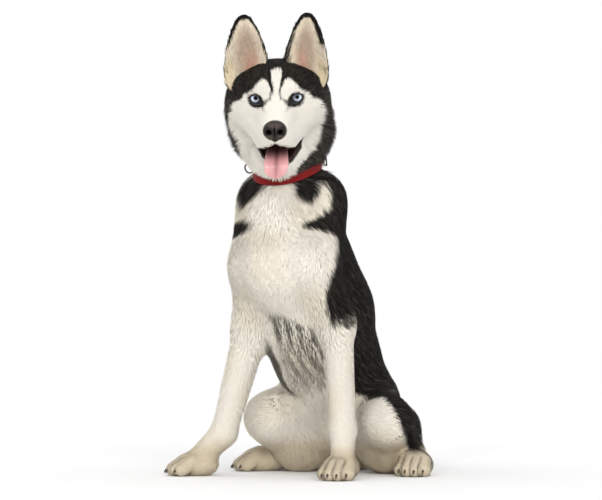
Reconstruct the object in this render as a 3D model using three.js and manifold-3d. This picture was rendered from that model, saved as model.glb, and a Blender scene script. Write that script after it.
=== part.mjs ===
// A young Siberian husky sitting upright, life size, head turned to its left, mouth open.
// Millimetres. +Z is up, -Y is the way the chest faces, +X is the dog's left, and the floor is z = 0.
// The flesh and coat are one field of rounded limbs, meshed, thinned and parted by flat cuts into nodes.
import * as THREE from "three";
import { mergeVertices } from "three/addons/utils/BufferGeometryUtils.js";
import Module from "manifold-3d";

const wasm = await Module();
wasm.setup();

// ---- driving sizes -------------------------------------------------------------------------------
const GAP = 0.3; // clearance that touching nodes keep
const EYE_HEIGHT = 574; // eyes above the floor
const HEAD_YAW = 23.5; // degrees the head turns to the dog's left
const HEAD_PITCH = 18; // degrees the muzzle points down
const HEAD_ROLL = -1.5; // degrees, left ear higher
const EYE_SPREAD = 31.5; // half the distance between the eyes
const EYE_RADIUS = 11;
const EAR_HEIGHT = 119;
const CHEST_HALF_WIDTH = 86;
const PAW_HALF_WIDTH = 27;
const radians = THREE.MathUtils.degToRad;

// ---- joints of the skeleton, in the body's frame --------------------------------------------------
const EYES = [12, -7, EYE_HEIGHT];
const NECK_TOP = [-8, 64, 560];
const NECK_BASE = [-6, 82, 425];
const THROAT_TOP = [0, 38, 505];
const THROAT_BASE = [0, 30, 400];
const WITHERS = [-4, 78, 403];
const SHOULDERS = [
  [-54, 74, 438],
  [50, 80, 436],
];
const CHEST = [-3, 98, 335];
const RIBS_END = [0, 165, 250];
const LOIN = [0, 222, 180];
const PELVIS = [0, 275, 115];
const RUMP = [0, 305, 84];
const FORECHEST = [0, 18, 345];
const TAIL_POINTS = [
  [0, 366, 62],
  [-10, 418, 40],
  [-44, 470, 36],
  [-98, 506, 35],
  [-158, 510, 32],
];
const TAIL_RADII = [30, 34, 38, 36, 18];
// Left and right limbs stand differently, so each has its own joints.
const LEFT_FORE = {
  blade: [46, 74, 412],
  shoulder: [54, 34, 325],
  elbow: [82, 84, 232],
  wrist: [90, 62, 74],
};
const RIGHT_FORE = {
  blade: [-48, 70, 412],
  shoulder: [-45, 34, 325],
  elbow: [-74, 80, 232],
  wrist: [-114, 66, 66],
};
const LEFT_HIND = { hip: [36, 272, 106], knee: [120, 166, 84], calf: [98, 222, 48], hock: [114, 285, 25] };
const RIGHT_HIND = { hip: [-48, 276, 110], knee: [-78, 158, 88], calf: [-52, 222, 46], hock: [-56, 290, 25] };
const PAWS = {
  front_left: { at: [95, 46, 0], turn: 6 },
  front_right: { at: [-154, 46, 0], turn: -52 },
  hind_left: { at: [160, 188, 0], turn: 8 },
  hind_right: { at: [-118, 203, 0], turn: -55 },
};

// ---- field shapes: each returns the distance to a rounded form, negative inside --------------------
// A limb tapers from radius ra at a to rb at b; `flat` above 1 narrows it along the unit vector `side`.
function limb(a, b, ra, rb, blend, side = [1, 0, 0], flat = 1) {
  const d = [b[0] - a[0], b[1] - a[1], b[2] - a[2]];
  const lengthSquared = d[0] ** 2 + d[1] ** 2 + d[2] ** 2;
  return {
    blend,
    at(x, y, z) {
      let px = x - a[0];
      let py = y - a[1];
      let pz = z - a[2];
      if (flat !== 1) {
        const extra = (px * side[0] + py * side[1] + pz * side[2]) * (flat - 1);
        px += extra * side[0];
        py += extra * side[1];
        pz += extra * side[2];
      }
      const t = Math.min(1, Math.max(0, (px * d[0] + py * d[1] + pz * d[2]) / lengthSquared));
      return Math.hypot(px - t * d[0], py - t * d[1], pz - t * d[2]) - (ra + (rb - ra) * t);
    },
  };
}

// An ellipsoid with its radii along the frame's axes.
function ball(centre, radii, blend) {
  return {
    blend,
    at(x, y, z) {
      const px = x - centre[0];
      const py = y - centre[1];
      const pz = z - centre[2];
      const scaled = Math.hypot(px / radii[0], py / radii[1], pz / radii[2]);
      const slope = Math.hypot(px / radii[0] ** 2, py / radii[1] ** 2, pz / radii[2] ** 2);
      return slope < 1e-9 ? -Math.min(...radii) : (scaled * (scaled - 1)) / slope;
    },
  };
}

const mirrored = ([x, y, z]) => [-x, y, z];
const pair = (make) => [make((p) => p), make(mirrored)];

function blendMin(a, b, k) {
  const h = Math.max(k - Math.abs(a - b), 0) / k;
  return Math.min(a, b) - h * h * k * 0.25;
}
const blendMax = (a, b, k) => -blendMin(-a, -b, k);

// Joins a list of shapes into one rounded form.
function joined(shapes) {
  return (x, y, z) => {
    let value = 1e3;
    for (const s of shapes) value = blendMin(value, s.at(x, y, z), s.blend);
    return value;
  };
}

// ---- the body --------------------------------------------------------------------------------------
const rib = CHEST_HALF_WIDTH;
const trunk = [
  ball(WITHERS, [rib - 12, 64, 66], 20),
  limb(SHOULDERS[0], SHOULDERS[1], 31, 32, 16),
  limb(CHEST, RIBS_END, 92, 97, 30, [1, 0, 0], 92 / rib),
  limb(RIBS_END, LOIN, 97, 82, 20, [1, 0, 0], 97 / rib),
  limb(LOIN, PELVIS, 80, 78, 20),
  ball(RUMP, [80, 80, 87], 20),
  ball(FORECHEST, [60, 44, 72], 30),
  limb([0, 24, 320], [0, 112, 232], 44, 50, 40, [1, 0, 0], 0.85),
];
const neck = [limb(NECK_TOP, NECK_BASE, 43, 63, 24), limb(THROAT_TOP, THROAT_BASE, 36, 54, 24)];

function foreleg({ blade, shoulder, elbow, wrist }, paw) {
  return [
    limb(blade, shoulder, 40, 34, 30),
    limb(shoulder, elbow, 34, 30, 25),
    limb(elbow, wrist, 27, 21, 20),
    limb(wrist, [paw.at[0], paw.at[1] + 6, 22], 21, 19, 10),
  ];
}

function hindleg({ hip, knee, calf, hock }, paw) {
  return [
    limb(hip, knee, 52, 36, 40),
    limb(knee, calf, 36, 46, 30),
    limb(calf, hock, 42, 23, 25),
    limb(hock, [paw.at[0], paw.at[1], 20], 22, 20, 15),
  ];
}

// A paw in its own frame: heel at the origin's back, toes towards -Y.
const TOE_SPREAD = [-19, -7, 7, 19];
const TOE_REACH = [-24, -34, -34, -24];
function pawShapes() {
  const toes = TOE_SPREAD.map((x, i) => {
    const reach = TOE_REACH[i];
    return limb([x * 0.75, reach + 18, 22], [x, reach, 10], 12, 11, 3);
  });
  return [ball([0, 6, 17], [PAW_HALF_WIDTH - 1, 32, 20], 6), ...toes];
}

const tail = TAIL_POINTS.slice(1).map((end, i) =>
  limb(TAIL_POINTS[i], end, TAIL_RADII[i], TAIL_RADII[i + 1], 32),
);

// ---- the head, in its own frame: origin between the eyes, -Y forward, +Z up --------------------------
const headShapes = [
  ball([0, 52, 8], [58, 66, 46], 10),
  ball([0, 14, 12], [42, 34, 32], 20),
  ...pair((m) => limb(m([10, -4, 17]), m([34, 2, 17]), 13, 11, 10)),
  limb([0, -5, -20], [0, -74, -36], 34, 23, 22),
  ...pair((m) => limb(m([30, -8, -40]), m([12, -68, -47]), 14, 15, 10)),
  ...pair((m) => ball(m([27, 8, -24]), [22, 26, 24], 16)),
  ...pair((m) => ball(m([44, 28, -22]), [28, 38, 30], 20)),
  ...pair((m) => ball(m([50, 46, 0]), [24, 34, 30], 20)),
  ...pair((m) => ball(m([50, 58, -28]), [32, 40, 52], 20)),
  ...pair((m) => ball(m([36, 50, -68]), [36, 38, 38], 20)),
  limb([0, 26, -80], [0, -44, -99], 32, 16, 12, [1, 0, 0], 0.72),
];

const headFrame = new THREE.Matrix4().makeRotationFromEuler(
  new THREE.Euler(...[HEAD_PITCH, HEAD_ROLL, HEAD_YAW].map(radians), "ZXY"),
);
headFrame.setPosition(...EYES);

// The open mouth is a wedge between the lips that closes at their corners, hollowed above and below.
const MOUTH_CORNER = [37, -4, -54];
const UPPER_LIP_SLOPE = 0.19;
const LOWER_LIP_SLOPE = 0.7;
const LIP_FRONT = -60;
const hollows = [
  limb([0, 4, -55], [0, -72, -58], 25, 14, 2, [0, 0, 1], 2),
  limb([0, 4, -65], [0, -48, -90], 25, 14, 2, [0, 0, 1], 2),
];
function mouth(x, y, z) {
  const ahead = MOUTH_CORNER[1] - y;
  const rise = 0.5 * Math.max(0, LIP_FRONT - y);
  const below = z - (MOUTH_CORNER[2] - ahead * UPPER_LIP_SLOPE + rise);
  const above = MOUTH_CORNER[2] - ahead * LOWER_LIP_SLOPE - z;
  const beside = Math.abs(x) - MOUTH_CORNER[0];
  const hollow = Math.max(Math.min(...hollows.map((h) => h.at(x, y, z))), y - 6);
  return blendMin(Math.max(below, above, -ahead, beside), hollow, 4);
}

function framed(matrix, field) {
  const e = matrix.clone().invert().elements;
  return (x, y, z) =>
    field(
      e[0] * x + e[4] * y + e[8] * z + e[12],
      e[1] * x + e[5] * y + e[9] * z + e[13],
      e[2] * x + e[6] * y + e[10] * z + e[14],
    );
}

const pawFrames = Object.fromEntries(
  Object.entries(PAWS).map(([name, { at, turn }]) => {
    const frame = new THREE.Matrix4().makeRotationZ(radians(turn));
    return [name, frame.setPosition(...at)];
  }),
);

const bodyField = joined([
  ...trunk,
  ...neck,
  ...foreleg(LEFT_FORE, PAWS.front_left),
  ...foreleg(RIGHT_FORE, PAWS.front_right),
  ...hindleg(LEFT_HIND, PAWS.hind_left),
  ...hindleg(RIGHT_HIND, PAWS.hind_right),
  ...tail,
]);
const headField = framed(headFrame, joined(headShapes));
const mouthField = framed(headFrame, mouth);
const pawFields = Object.values(pawFrames).map((frame) => framed(frame, joined(pawShapes())));

function dog(x, y, z) {
  let value = blendMin(bodyField(x, y, z), headField(x, y, z), 25);
  for (const paw of pawFields) value = blendMin(value, paw(x, y, z), 10);
  return blendMax(value, -mouthField(x, y, z), 3);
}

// ---- the long coat: where it grows, and how far its tips stand out from the core that carries it ----------
const COLLAR_AT = [-4, 60, 478];
const COLLAR_HINGE = 12; // degrees that the level line across the collar turns to the dog's left
const COLLAR_TILT = 22;
const placed = (at, axis, degrees) =>
  new THREE.Matrix4().makeRotationAxis(new THREE.Vector3(...axis), radians(degrees)).setPosition(...at);
const hinge = [Math.cos(radians(COLLAR_HINGE)), Math.sin(radians(COLLAR_HINGE)), 0];
const collarFrame = placed(COLLAR_AT, hinge, COLLAR_TILT);
const slab = (low, high) => (x, y, z) => Math.max(low - z, z - high);
const CHEEK_RUFF_AT = [76, 56, -58];
const BREECHES_AT = [66, 330, 72];
const TAIL_START = 376;
const cheekRuff = joined(pair((m) => ball(m(CHEEK_RUFF_AT), [34, 44, 50], 4)));
const longCoat = [
  { depth: 5, fade: 8, zone: framed(collarFrame, slab(-60, 12)) },
  { depth: 7, fade: 12, zone: framed(headFrame, cheekRuff) },
  { depth: 8, fade: 14, zone: joined(pair((m) => ball(m(BREECHES_AT), [40, 56, 70], 4))) },
  { depth: 14, fade: 24, zone: (x, y) => TAIL_START - y },
];
function coatDepth(x, y, z) {
  let depth = 0;
  for (const patch of longCoat) {
    const t = Math.min(1, Math.max(0, -patch.zone(x, y, z) / patch.fade));
    depth = Math.max(depth, patch.depth * t * t * (3 - 2 * t));
  }
  return depth;
}
const core = (x, y, z) => dog(x, y, z) + coatDepth(x, y, z);

// ---- meshing: marching tetrahedra, then thinning by edge collapse ------------------------------------
const TETRAHEDRA = [
  [0, 1, 3, 7],
  [0, 5, 1, 7],
  [0, 3, 2, 7],
  [0, 2, 6, 7],
  [0, 4, 5, 7],
  [0, 6, 4, 7],
];

function polygonise(field, low, high, cell) {
  const n = [0, 1, 2].map((k) => Math.ceil((high[k] - low[k]) / cell) + 1);
  const values = new Float64Array(n[0] * n[1] * n[2]);
  const index = (i, j, k) => i + n[0] * (j + n[1] * k);
  for (let k = 0; k < n[2]; k++)
    for (let j = 0; j < n[1]; j++)
      for (let i = 0; i < n[0]; i++) {
        const edge = i === 0 || j === 0 || k === 0 || i === n[0] - 1 || j === n[1] - 1 || k === n[2] - 1;
        const v = field(low[0] + i * cell, low[1] + j * cell, low[2] + k * cell);
        values[index(i, j, k)] = edge ? Math.max(v, 1e-3) : Math.abs(v) < 1e-3 ? 1e-3 : v;
      }
  const offsets = [0, 1, 2, 3, 4, 5, 6, 7].map((c) => index(c & 1, (c >> 1) & 1, c >> 2));
  const place = (id) => [
    low[0] + (id % n[0]) * cell,
    low[1] + (Math.floor(id / n[0]) % n[1]) * cell,
    low[2] + Math.floor(id / (n[0] * n[1])) * cell,
  ];
  const points = [];
  const faces = [];
  const known = new Map();
  const cut = (a, b) => {
    const key = a < b ? a * 8e6 + b : b * 8e6 + a;
    let id = known.get(key);
    if (id === undefined) {
      const t = Math.min(0.95, Math.max(0.05, values[a] / (values[a] - values[b])));
      const p = place(a);
      const q = place(b);
      id = points.length;
      points.push(p.map((v, c) => v + (q[c] - v) * t));
      known.set(key, id);
    }
    return id;
  };
  for (let k = 0; k < n[2] - 1; k++)
    for (let j = 0; j < n[1] - 1; j++)
      for (let i = 0; i < n[0] - 1; i++) {
        const base = index(i, j, k);
        let inside = 0;
        for (const o of offsets) inside += values[base + o] < 0;
        if (inside === 0 || inside === 8) continue;
        for (const tet of TETRAHEDRA) {
          const corner = tet.map((c) => base + offsets[c]);
          const within = corner.filter((c) => values[c] < 0);
          const without = corner.filter((c) => values[c] >= 0);
          if (!within.length || !without.length) continue;
          const even = evenOrder([...within, ...without], corner);
          const add = (a, b, c) => faces.push(even ? [a, b, c] : [a, c, b]);
          if (within.length === 1) {
            const [w] = within;
            add(cut(w, without[0]), cut(w, without[1]), cut(w, without[2]));
          } else if (without.length === 1) {
            const [o] = without;
            add(cut(within[0], o), cut(within[1], o), cut(within[2], o));
          } else {
            const [a, b] = within;
            const [c, d] = without;
            add(cut(a, c), cut(a, d), cut(b, d));
            add(cut(a, c), cut(b, d), cut(b, c));
          }
        }
      }
  return { points, faces };
}

// True if `order` is an even rearrangement of `corners`.
function evenOrder(order, corners) {
  const places = order.map((c) => corners.indexOf(c));
  let swaps = 0;
  for (let i = 0; i < 4; i++) for (let j = i + 1; j < 4; j++) swaps += places[i] > places[j];
  return swaps % 2 === 0;
}

function slope(field, p, h = 0.5) {
  const [x, y, z] = p;
  return [
    (field(x + h, y, z) - field(x - h, y, z)) / (2 * h),
    (field(x, y + h, z) - field(x, y - h, z)) / (2 * h),
    (field(x, y, z + h) - field(x, y, z - h)) / (2 * h),
  ];
}

// Moves a point along the field's slope until it lies on the surface.
function settle(field, p, most) {
  let q = p;
  for (let step = 0; step < 2; step++) {
    const g = slope(field, q);
    const squared = g[0] ** 2 + g[1] ** 2 + g[2] ** 2;
    if (squared < 0.04) return p;
    const move = field(...q) / squared;
    q = q.map((v, c) => v - g[c] * move);
  }
  return Math.hypot(q[0] - p[0], q[1] - p[1], q[2] - p[2]) > most ? p : q;
}

// ---- thinning: edges collapse in order of the error that they bring -------------------------------
// A quadric is the upper triangle of the 4x4 matrix that sums a point's squared distances to planes.
const PLANE_TERMS = [[0, 0], [0, 1], [0, 2], [0, 3], [1, 1], [1, 2], [1, 3], [2, 2], [2, 3], [3, 3]];

function quadricError(q, [x, y, z]) {
  const v = [x, y, z, 1];
  return PLANE_TERMS.reduce((sum, [i, j], n) => sum + (i === j ? 1 : 2) * q[n] * v[i] * v[j], 0);
}

function quadricBest(q, fallback) {
  const [a, b, c, d, e, f, g, h, i] = q;
  const matrix = new THREE.Matrix3().set(a, b, c, b, e, f, c, f, h);
  const size = Math.abs(matrix.determinant());
  if (size < 1e-4 * (a + e + h) ** 3) return fallback;
  const best = new THREE.Vector3(-d, -g, -i).applyMatrix3(matrix.invert());
  return best.distanceTo(new THREE.Vector3(...fallback)) > 12 ? fallback : best.toArray();
}

// A binary heap of [cost, ...] entries, smallest first.
class Heap {
  items = [];
  push(item) {
    const { items } = this;
    let n = items.push(item) - 1;
    while (n > 0) {
      const up = (n - 1) >> 1;
      if (items[up][0] <= item[0]) break;
      items[n] = items[up];
      n = up;
    }
    items[n] = item;
  }
  pop() {
    const { items } = this;
    const top = items[0];
    const last = items.pop();
    if (items.length) {
      let n = 0;
      for (;;) {
        let down = 2 * n + 1;
        if (down >= items.length) break;
        if (down + 1 < items.length && items[down + 1][0] < items[down][0]) down += 1;
        if (items[down][0] >= last[0]) break;
        items[n] = items[down];
        n = down;
      }
      items[n] = last;
    }
    return top;
  }
}

const minus = (a, b) => [a[0] - b[0], a[1] - b[1], a[2] - b[2]];
const cross = (a, b) => [a[1] * b[2] - a[2] * b[1], a[2] * b[0] - a[0] * b[2], a[0] * b[1] - a[1] * b[0]];
const dot = (a, b) => a[0] * b[0] + a[1] * b[1] + a[2] * b[2];

// Collapses the edges of a closed mesh, cheapest first. `plan(a, b, points)` gives an edge's [cost, new
// point] and `fit` moves that point where it belongs. `merge(a, b)` is told of each collapse,
// `done(cost, faces left)` ends it, and `crushed(before, after)` forbids what it would do to a face.
function collapsed({ points, faces }, { plan, fit, merge, done, crushed }) {
  const around = points.map(() => new Set());
  faces.forEach((face, n) => face.forEach((p) => around[p].add(n)));
  const stamp = new Int32Array(points.length);
  const heap = new Heap();
  const offer = (a, b) => {
    const [cost, to] = plan(a, b, points);
    heap.push([cost, a, b, stamp[a], stamp[b], to]);
  };
  const neighbours = (p) => new Set([...around[p]].flatMap((n) => faces[n]).filter((q) => q !== p));
  points.forEach((_, p) => neighbours(p).forEach((q) => p < q && offer(p, q)));
  let left = faces.length;
  while (heap.items.length) {
    const [cost, a, b, stampA, stampB, rough] = heap.pop();
    if (done(cost, left)) break;
    if (stamp[a] !== stampA || stamp[b] !== stampB) continue;
    const near = neighbours(a);
    if ([...neighbours(b)].filter((q) => near.has(q)).length !== 2) continue;
    const to = fit(rough);
    const kept = [...around[a], ...around[b]].filter((n) => !(faces[n].includes(a) && faces[n].includes(b)));
    const corners = (n, moved) => faces[n].map((p) => (moved && (p === a || p === b) ? to : points[p]));
    if (kept.some((n) => crushed(corners(n, false), corners(n, true)))) continue;
    for (const n of [...around[b]]) {
      if (faces[n].includes(a)) {
        faces[n].forEach((p) => around[p].delete(n));
        left -= 1;
      } else {
        faces[n] = faces[n].map((p) => (p === b ? a : p));
        around[b].delete(n);
        around[a].add(n);
      }
    }
    points[a] = to;
    merge(a, b);
    stamp[a] += 1;
    stamp[b] = -1;
    neighbours(a).forEach((q) => offer(a, q));
  }
  return { points, faces: faces.filter((face, n) => around[face[0]].has(n)) };
}

const normalOf = ([a, b, c]) => cross(minus(b, a), minus(c, a));

// Thins a closed mesh to `count` faces, keeping its points on the field's surface.
function thinned(mesh, count, field) {
  const quadrics = mesh.points.map(() => new Float64Array(10));
  for (const face of mesh.faces) {
    const normal = normalOf(face.map((p) => mesh.points[p]));
    const area = Math.hypot(...normal) || 1e-9;
    const unit = normal.map((v) => v / area);
    const plane = [...unit, -dot(unit, mesh.points[face[0]])];
    for (const p of face) PLANE_TERMS.forEach(([i, j], n) => (quadrics[p][n] += area * plane[i] * plane[j]));
  }
  return collapsed(mesh, {
    plan(a, b, points) {
      const sum = quadrics[a].map((v, n) => v + quadrics[b][n]);
      const middle = points[a].map((v, c) => (v + points[b][c]) / 2);
      const to = quadricBest(sum, middle);
      const length = Math.hypot(...minus(points[a], points[b]));
      return [quadricError(sum, to) + 0.02 * length ** 3, to];
    },
    fit: (p) => settle(field, p, 6),
    merge(a, b) {
      quadrics[a] = quadrics[a].map((v, n) => v + quadrics[b][n]);
    },
    done: (cost, left) => left <= count,
    crushed(before, after) {
      const normal = normalOf(after);
      const area = Math.hypot(...normal);
      const longest = Math.max(...after.map((p, n) => Math.hypot(...minus(p, after[(n + 1) % 3]))));
      const turned = dot(normalOf(before), normal) < 0.2 * area * Math.hypot(...normalOf(before));
      return turned || area < 0.05 * longest ** 2;
    },
  });
}

// Closes the edges shorter than `shortest` that joins and cuts leave behind.
function welded(solid, shortest = 0.2) {
  const { numProp, numVert, vertProperties, triVerts } = solid.getMesh();
  const triples = (list, count, step) =>
    Array.from({ length: count }, (_, n) => [...list.subarray(n * step, n * step + 3)]);
  const points = triples(vertProperties, numVert, numProp);
  const faces = triples(triVerts, triVerts.length / 3, 3);
  const mesh = collapsed({ points, faces }, {
    plan: (a, b, at) => [Math.hypot(...minus(at[a], at[b])), at[a].map((v, c) => (v + at[b][c]) / 2)],
    fit: (p) => p,
    merge() {},
    done: (length) => length > shortest,
    crushed(before, after) {
      const was = normalOf(before);
      return Math.hypot(...was) > 0.02 && dot(was, normalOf(after)) < 0;
    },
  });
  return solidOfMesh(mesh);
}

// ---- solids: meshes joined and cut --------------------------------------------------------------------
const solidOf = (coordinates, corners) =>
  new wasm.Manifold(
    new wasm.Mesh({
      numProp: 3,
      vertProperties: new Float32Array(coordinates),
      triVerts: new Uint32Array(corners),
    }),
  );

function solidOfMesh({ points, faces }) {
  const used = [...new Set(faces.flat())];
  const place = new Map(used.map((p, n) => [p, n]));
  return solidOf(
    used.flatMap((p) => points[p]),
    faces.flatMap((face) => face.map((p) => place.get(p))),
  );
}

function solidOfGeometry(geometry, matrix = new THREE.Matrix4()) {
  const bare = geometry.clone();
  bare.deleteAttribute("normal");
  bare.deleteAttribute("uv");
  const merged = mergeVertices(bare.applyMatrix4(matrix), 1e-4);
  return solidOf(merged.attributes.position.array, merged.index.array);
}

const placedSolid = (solid, matrix) => solidOfGeometry(geometryOf(solid), matrix);
const largest = (solid) => solid.decompose().sort((a, b) => b.volume() - a.volume())[0];

function geometryOf(solid) {
  const { numProp, numVert, vertProperties, triVerts } = solid.getMesh();
  const positions = new Float32Array(numVert * 3);
  for (let i = 0; i < numVert; i++) {
    positions.set(vertProperties.subarray(i * numProp, i * numProp + 3), i * 3);
  }
  const geometry = new THREE.BufferGeometry();
  geometry.setAttribute("position", new THREE.BufferAttribute(positions, 3));
  geometry.setIndex(new THREE.BufferAttribute(triVerts, 1));
  geometry.computeVertexNormals();
  return geometry;
}

// A closed skin over rings of points, each ring with as many points as the next, capped at its start and
// closed at its end by a cap or, where there is one, by a tip.
function loft(rings, tip) {
  const around = rings[0].length;
  const faces = [];
  for (let r = 0; r + 1 < rings.length; r++)
    for (let i = 0; i < around; i++) {
      const a = r * around + i;
      const b = r * around + ((i + 1) % around);
      faces.push([a, b, b + around], [a, b + around, a + around]);
    }
  const last = (rings.length - 1) * around;
  const end = last + around;
  for (let i = 1; i + 1 < around; i++) {
    faces.push([0, i + 1, i]);
    if (!tip) faces.push([last, last + i, last + i + 1]);
  }
  if (tip) for (let i = 0; i < around; i++) faces.push([last + i, last + ((i + 1) % around), end]);
  return facingOut({ points: tip ? [...rings.flat(), tip] : rings.flat(), faces });
}

// A closed tube over rings of points whose last ring joins the first.
function loop(rings) {
  const around = rings[0].length;
  const faces = rings.flatMap((_, r) => {
    const here = r * around;
    const there = ((r + 1) % rings.length) * around;
    return rings[0].flatMap((__, i) => {
      const j = (i + 1) % around;
      return [
        [here + i, here + j, there + j],
        [here + i, there + j, there + i],
      ];
    });
  });
  return facingOut({ points: rings.flat(), faces });
}

function facingOut({ points, faces }) {
  const volume = faces.reduce((sum, [a, b, c]) => sum + dot(points[a], cross(points[b], points[c])), 0);
  return { points, faces: volume < 0 ? faces.map(([a, b, c]) => [a, c, b]) : faces };
}

// ---- parting: each node of flesh owns a region, and is cut clear of the regions before it ---------------
const world = new THREE.Matrix4();
const FAR = 900;
const box = (frame, low, high) => ({ frame, low, high });

function boxSolid({ frame, low, high }, into, grow) {
  const size = high.map((v, c) => v - low[c] + 2 * grow);
  const geometry = new THREE.BoxGeometry(...size);
  geometry.translate(...high.map((v, c) => (v + low[c]) / 2));
  return solidOfGeometry(geometry, into.clone().invert().multiply(frame));
}

const regionSolid = (boxes, into, grow) =>
  boxes.map((b) => boxSolid(b, into, grow)).reduce((a, b) => a.intersect(b));

const HEAD_BASE = 14; // the head ends this far above the collar's middle
const above = box(collarFrame, [-FAR, -FAR, HEAD_BASE], [FAR, FAR, FAR]);
const jawCut = headFrame.clone().multiply(placed([0, 3, -54], [1, 0, 0], 24));
// A foreleg is parted by an upright face and by one that slants up and out under the elbow.
function legBoxes(side) {
  const reach = [30 * side, 220 * side].sort((a, b) => a - b);
  const slant = box(placed([42 * side, 0, 195], [0, 1, 0], -45 * side), [-FAR, -FAR, -FAR], [FAR, FAR, 0]);
  return [box(world, [reach[0], -60, 0], [reach[1], 118, 270]), slant];
}
const REGIONS = new Map([
  ...Object.entries(pawFrames).map(([name, frame]) => [
    `paw_${name}`,
    [box(frame, [-36, -66, 0], [36, 34, 38])],
  ]),
  ["jaw", [above, box(jawCut, [-110, -150, -150], [110, 0, 0])]],
  ["head", [above]],
  ["neck", [box(collarFrame, [-FAR, -FAR, -50], [FAR, FAR, FAR])]],
  ["tail", [box(world, [-300, 378, 0], [150, 640, 160])]],
  ["foreleg_left", legBoxes(1)],
  ["foreleg_right", legBoxes(-1)],
  ["hindleg_left", [box(placed([50, 0, 0], [0, 1, 0], 14), [0, 90, -100], [300, 340, 185])]],
  ["hindleg_right", [box(placed([-44, 0, 0], [0, 1, 0], -14), [-300, 90, -100], [0, 340, 185])]],
  ["hips", [box(placed([0, 190, 215], [1, 0, 0], -50), [-FAR, 0, -FAR], [FAR, FAR, FAR])]],
  ["torso", []],
]);
const ground = box(world, [-FAR, -FAR, 0], [FAR, FAR, FAR]);

const boxDistance = (p, low, high) => Math.max(...p.map((v, c) => Math.max(low[c] - v, v - high[c])));

const cleared = (solid, name, frame) => {
  let rest = solid;
  for (const [other, boxes] of REGIONS) {
    if (other === name) break;
    rest = rest.subtract(regionSolid(boxes, frame, GAP));
  }
  return rest;
};

// The flesh of a node with the locks that grow from it. Locks may hang past the node's own region only where
// `overhang` is set.
function flesh(name, frame, low, high, cell, count, locks = [], overhang = false) {
  const whole = framed(frame.clone().invert(), core);
  const field = (x, y, z) => Math.max(whole(x, y, z), boxDistance([x, y, z], low, high) + 1.3 * cell);
  const mesh = facingOut(thinned(polygonise(field, low, high, cell), count, field));
  const own = regionSolid([ground, ...REGIONS.get(name)], frame, 0);
  const part = solidOfMesh(mesh).intersect(own);
  const coat = locks.map((one) => one.intersect(overhang ? regionSolid([ground], frame, 0) : own));
  return largest(cleared(wasm.Manifold.union([part, ...coat]), name, frame));
}

// ---- locks: flat tapered tufts that bend along the coat's lie, their roots sunk in the core ----------
function seeded(seed) {
  let state = seed;
  return () => {
    state = (state * 1664525 + 1013904223) % 4294967296;
    return state / 4294967296;
  };
}

// Each station: how far along the lock, height as a part of the coat's depth, width and thickness.
const LOCK_ROOT_SUNK = 5;
const LOCK_STATIONS = [
  { share: 0.34, height: 0.4, wide: 1, thick: 1 },
  { share: 0.7, height: 0.75, wide: 0.76, thick: 0.75 },
  { share: 1, height: 1, wide: 0, thick: 0 },
];
const LOCK_SECTION = [
  [-0.5, 0],
  [0, 0.5],
  [0.5, 0],
  [0, -0.5],
];
const unitOf = (v) => v.map((value) => value / (Math.hypot(...v) || 1));
const along = (p, d, by) => p.map((v, c) => v + d[c] * by);
const level = (field, height) => (x, y, z) => field(x, y, z) - height;

// `seat` is where the lock leaves the core, and `lie(p)` is the way the coat lies there.
function lock({ field, depth, seat, lie, length, width, thick, sway }, clear = 0) {
  const outAt = (p) => unitOf(slope(field, p));
  const flatAt = (p) => {
    const out = outAt(p);
    const way = lie(p);
    return unitOf(minus(way, along([0, 0, 0], out, dot(way, out))));
  };
  const heading = (p, turn) => unitOf(along(flatAt(p), cross(outAt(p), flatAt(p)), turn));
  const ring = (p, way, wide, deep) => {
    const out = outAt(p);
    const across = unitOf(cross(way, out));
    return LOCK_SECTION.map(([u, v]) => along(along(p, across, u * wide), out, v * deep));
  };
  const wider = width + 9 * clear;
  const deeper = thick + 2.4 * clear;
  const firstWay = heading(seat, 0);
  const root = along(along(seat, outAt(seat), -LOCK_ROOT_SUNK), firstWay, -0.12 * length);
  const rings = [ring(root, firstWay, wider * 0.7, deeper)];
  let at = seat;
  let travelled = 0;
  for (const station of LOCK_STATIONS) {
    const way = heading(at, sway * station.share);
    const stepped = along(at, way, (station.share - travelled) * length);
    at = settle(level(field, depth * station.height), stepped, 30);
    travelled = station.share;
    if (station.wide) rings.push(ring(at, way, wider * station.wide, deeper * station.thick));
    else at = along(at, way, 8 * clear);
  }
  return solidOfMesh(loft(rings, at));
}

// The point where a line from `from` along `way` leaves the core.
function surfaceAlong(field, from, way) {
  const unit = unitOf(way);
  let reach = 0;
  while (reach < 250 && field(...along(from, unit, reach)) < 0) reach += 1;
  return settle(field, along(from, unit, reach), 10);
}

// Varies one lock of a group: its seat comes from `seatAt(random)`.
function locksOf({ seed, count, field, depth, seatAt, lie, length, width, thick }) {
  const random = seeded(seed);
  const spread = (share) => 1 + share * (2 * random() - 1);
  return Array.from({ length: count }, (_, n) => ({
    field,
    depth: depth * spread(0.15),
    seat: seatAt(n, random),
    lie,
    length: length * spread(0.14),
    width: width * spread(0.12),
    thick,
    sway: 0.35 * (random() - 0.5),
  }));
}

// The neck's ruff hangs in two tiers below the collar.
const RUFF_TIERS = [
  { z: -9, count: 11, start: 0 },
  { z: -25, count: 12, start: 16 },
];
const neckField = framed(collarFrame.clone().invert(), core);
const ruff = RUFF_TIERS.flatMap(({ z, count, start }, tier) =>
  locksOf({
    seed: 11 + tier,
    count,
    field: neckField,
    depth: 5,
    seatAt(n, random) {
      const angle = radians(start + (360 * (n + 0.3 * (random() - 0.5))) / count);
      return surfaceAlong(neckField, [0, 0, z], [Math.cos(angle), Math.sin(angle), 0]);
    },
    lie: () => [0, 0, -1],
    length: 44,
    width: 29,
    thick: 5,
  }),
);

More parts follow.
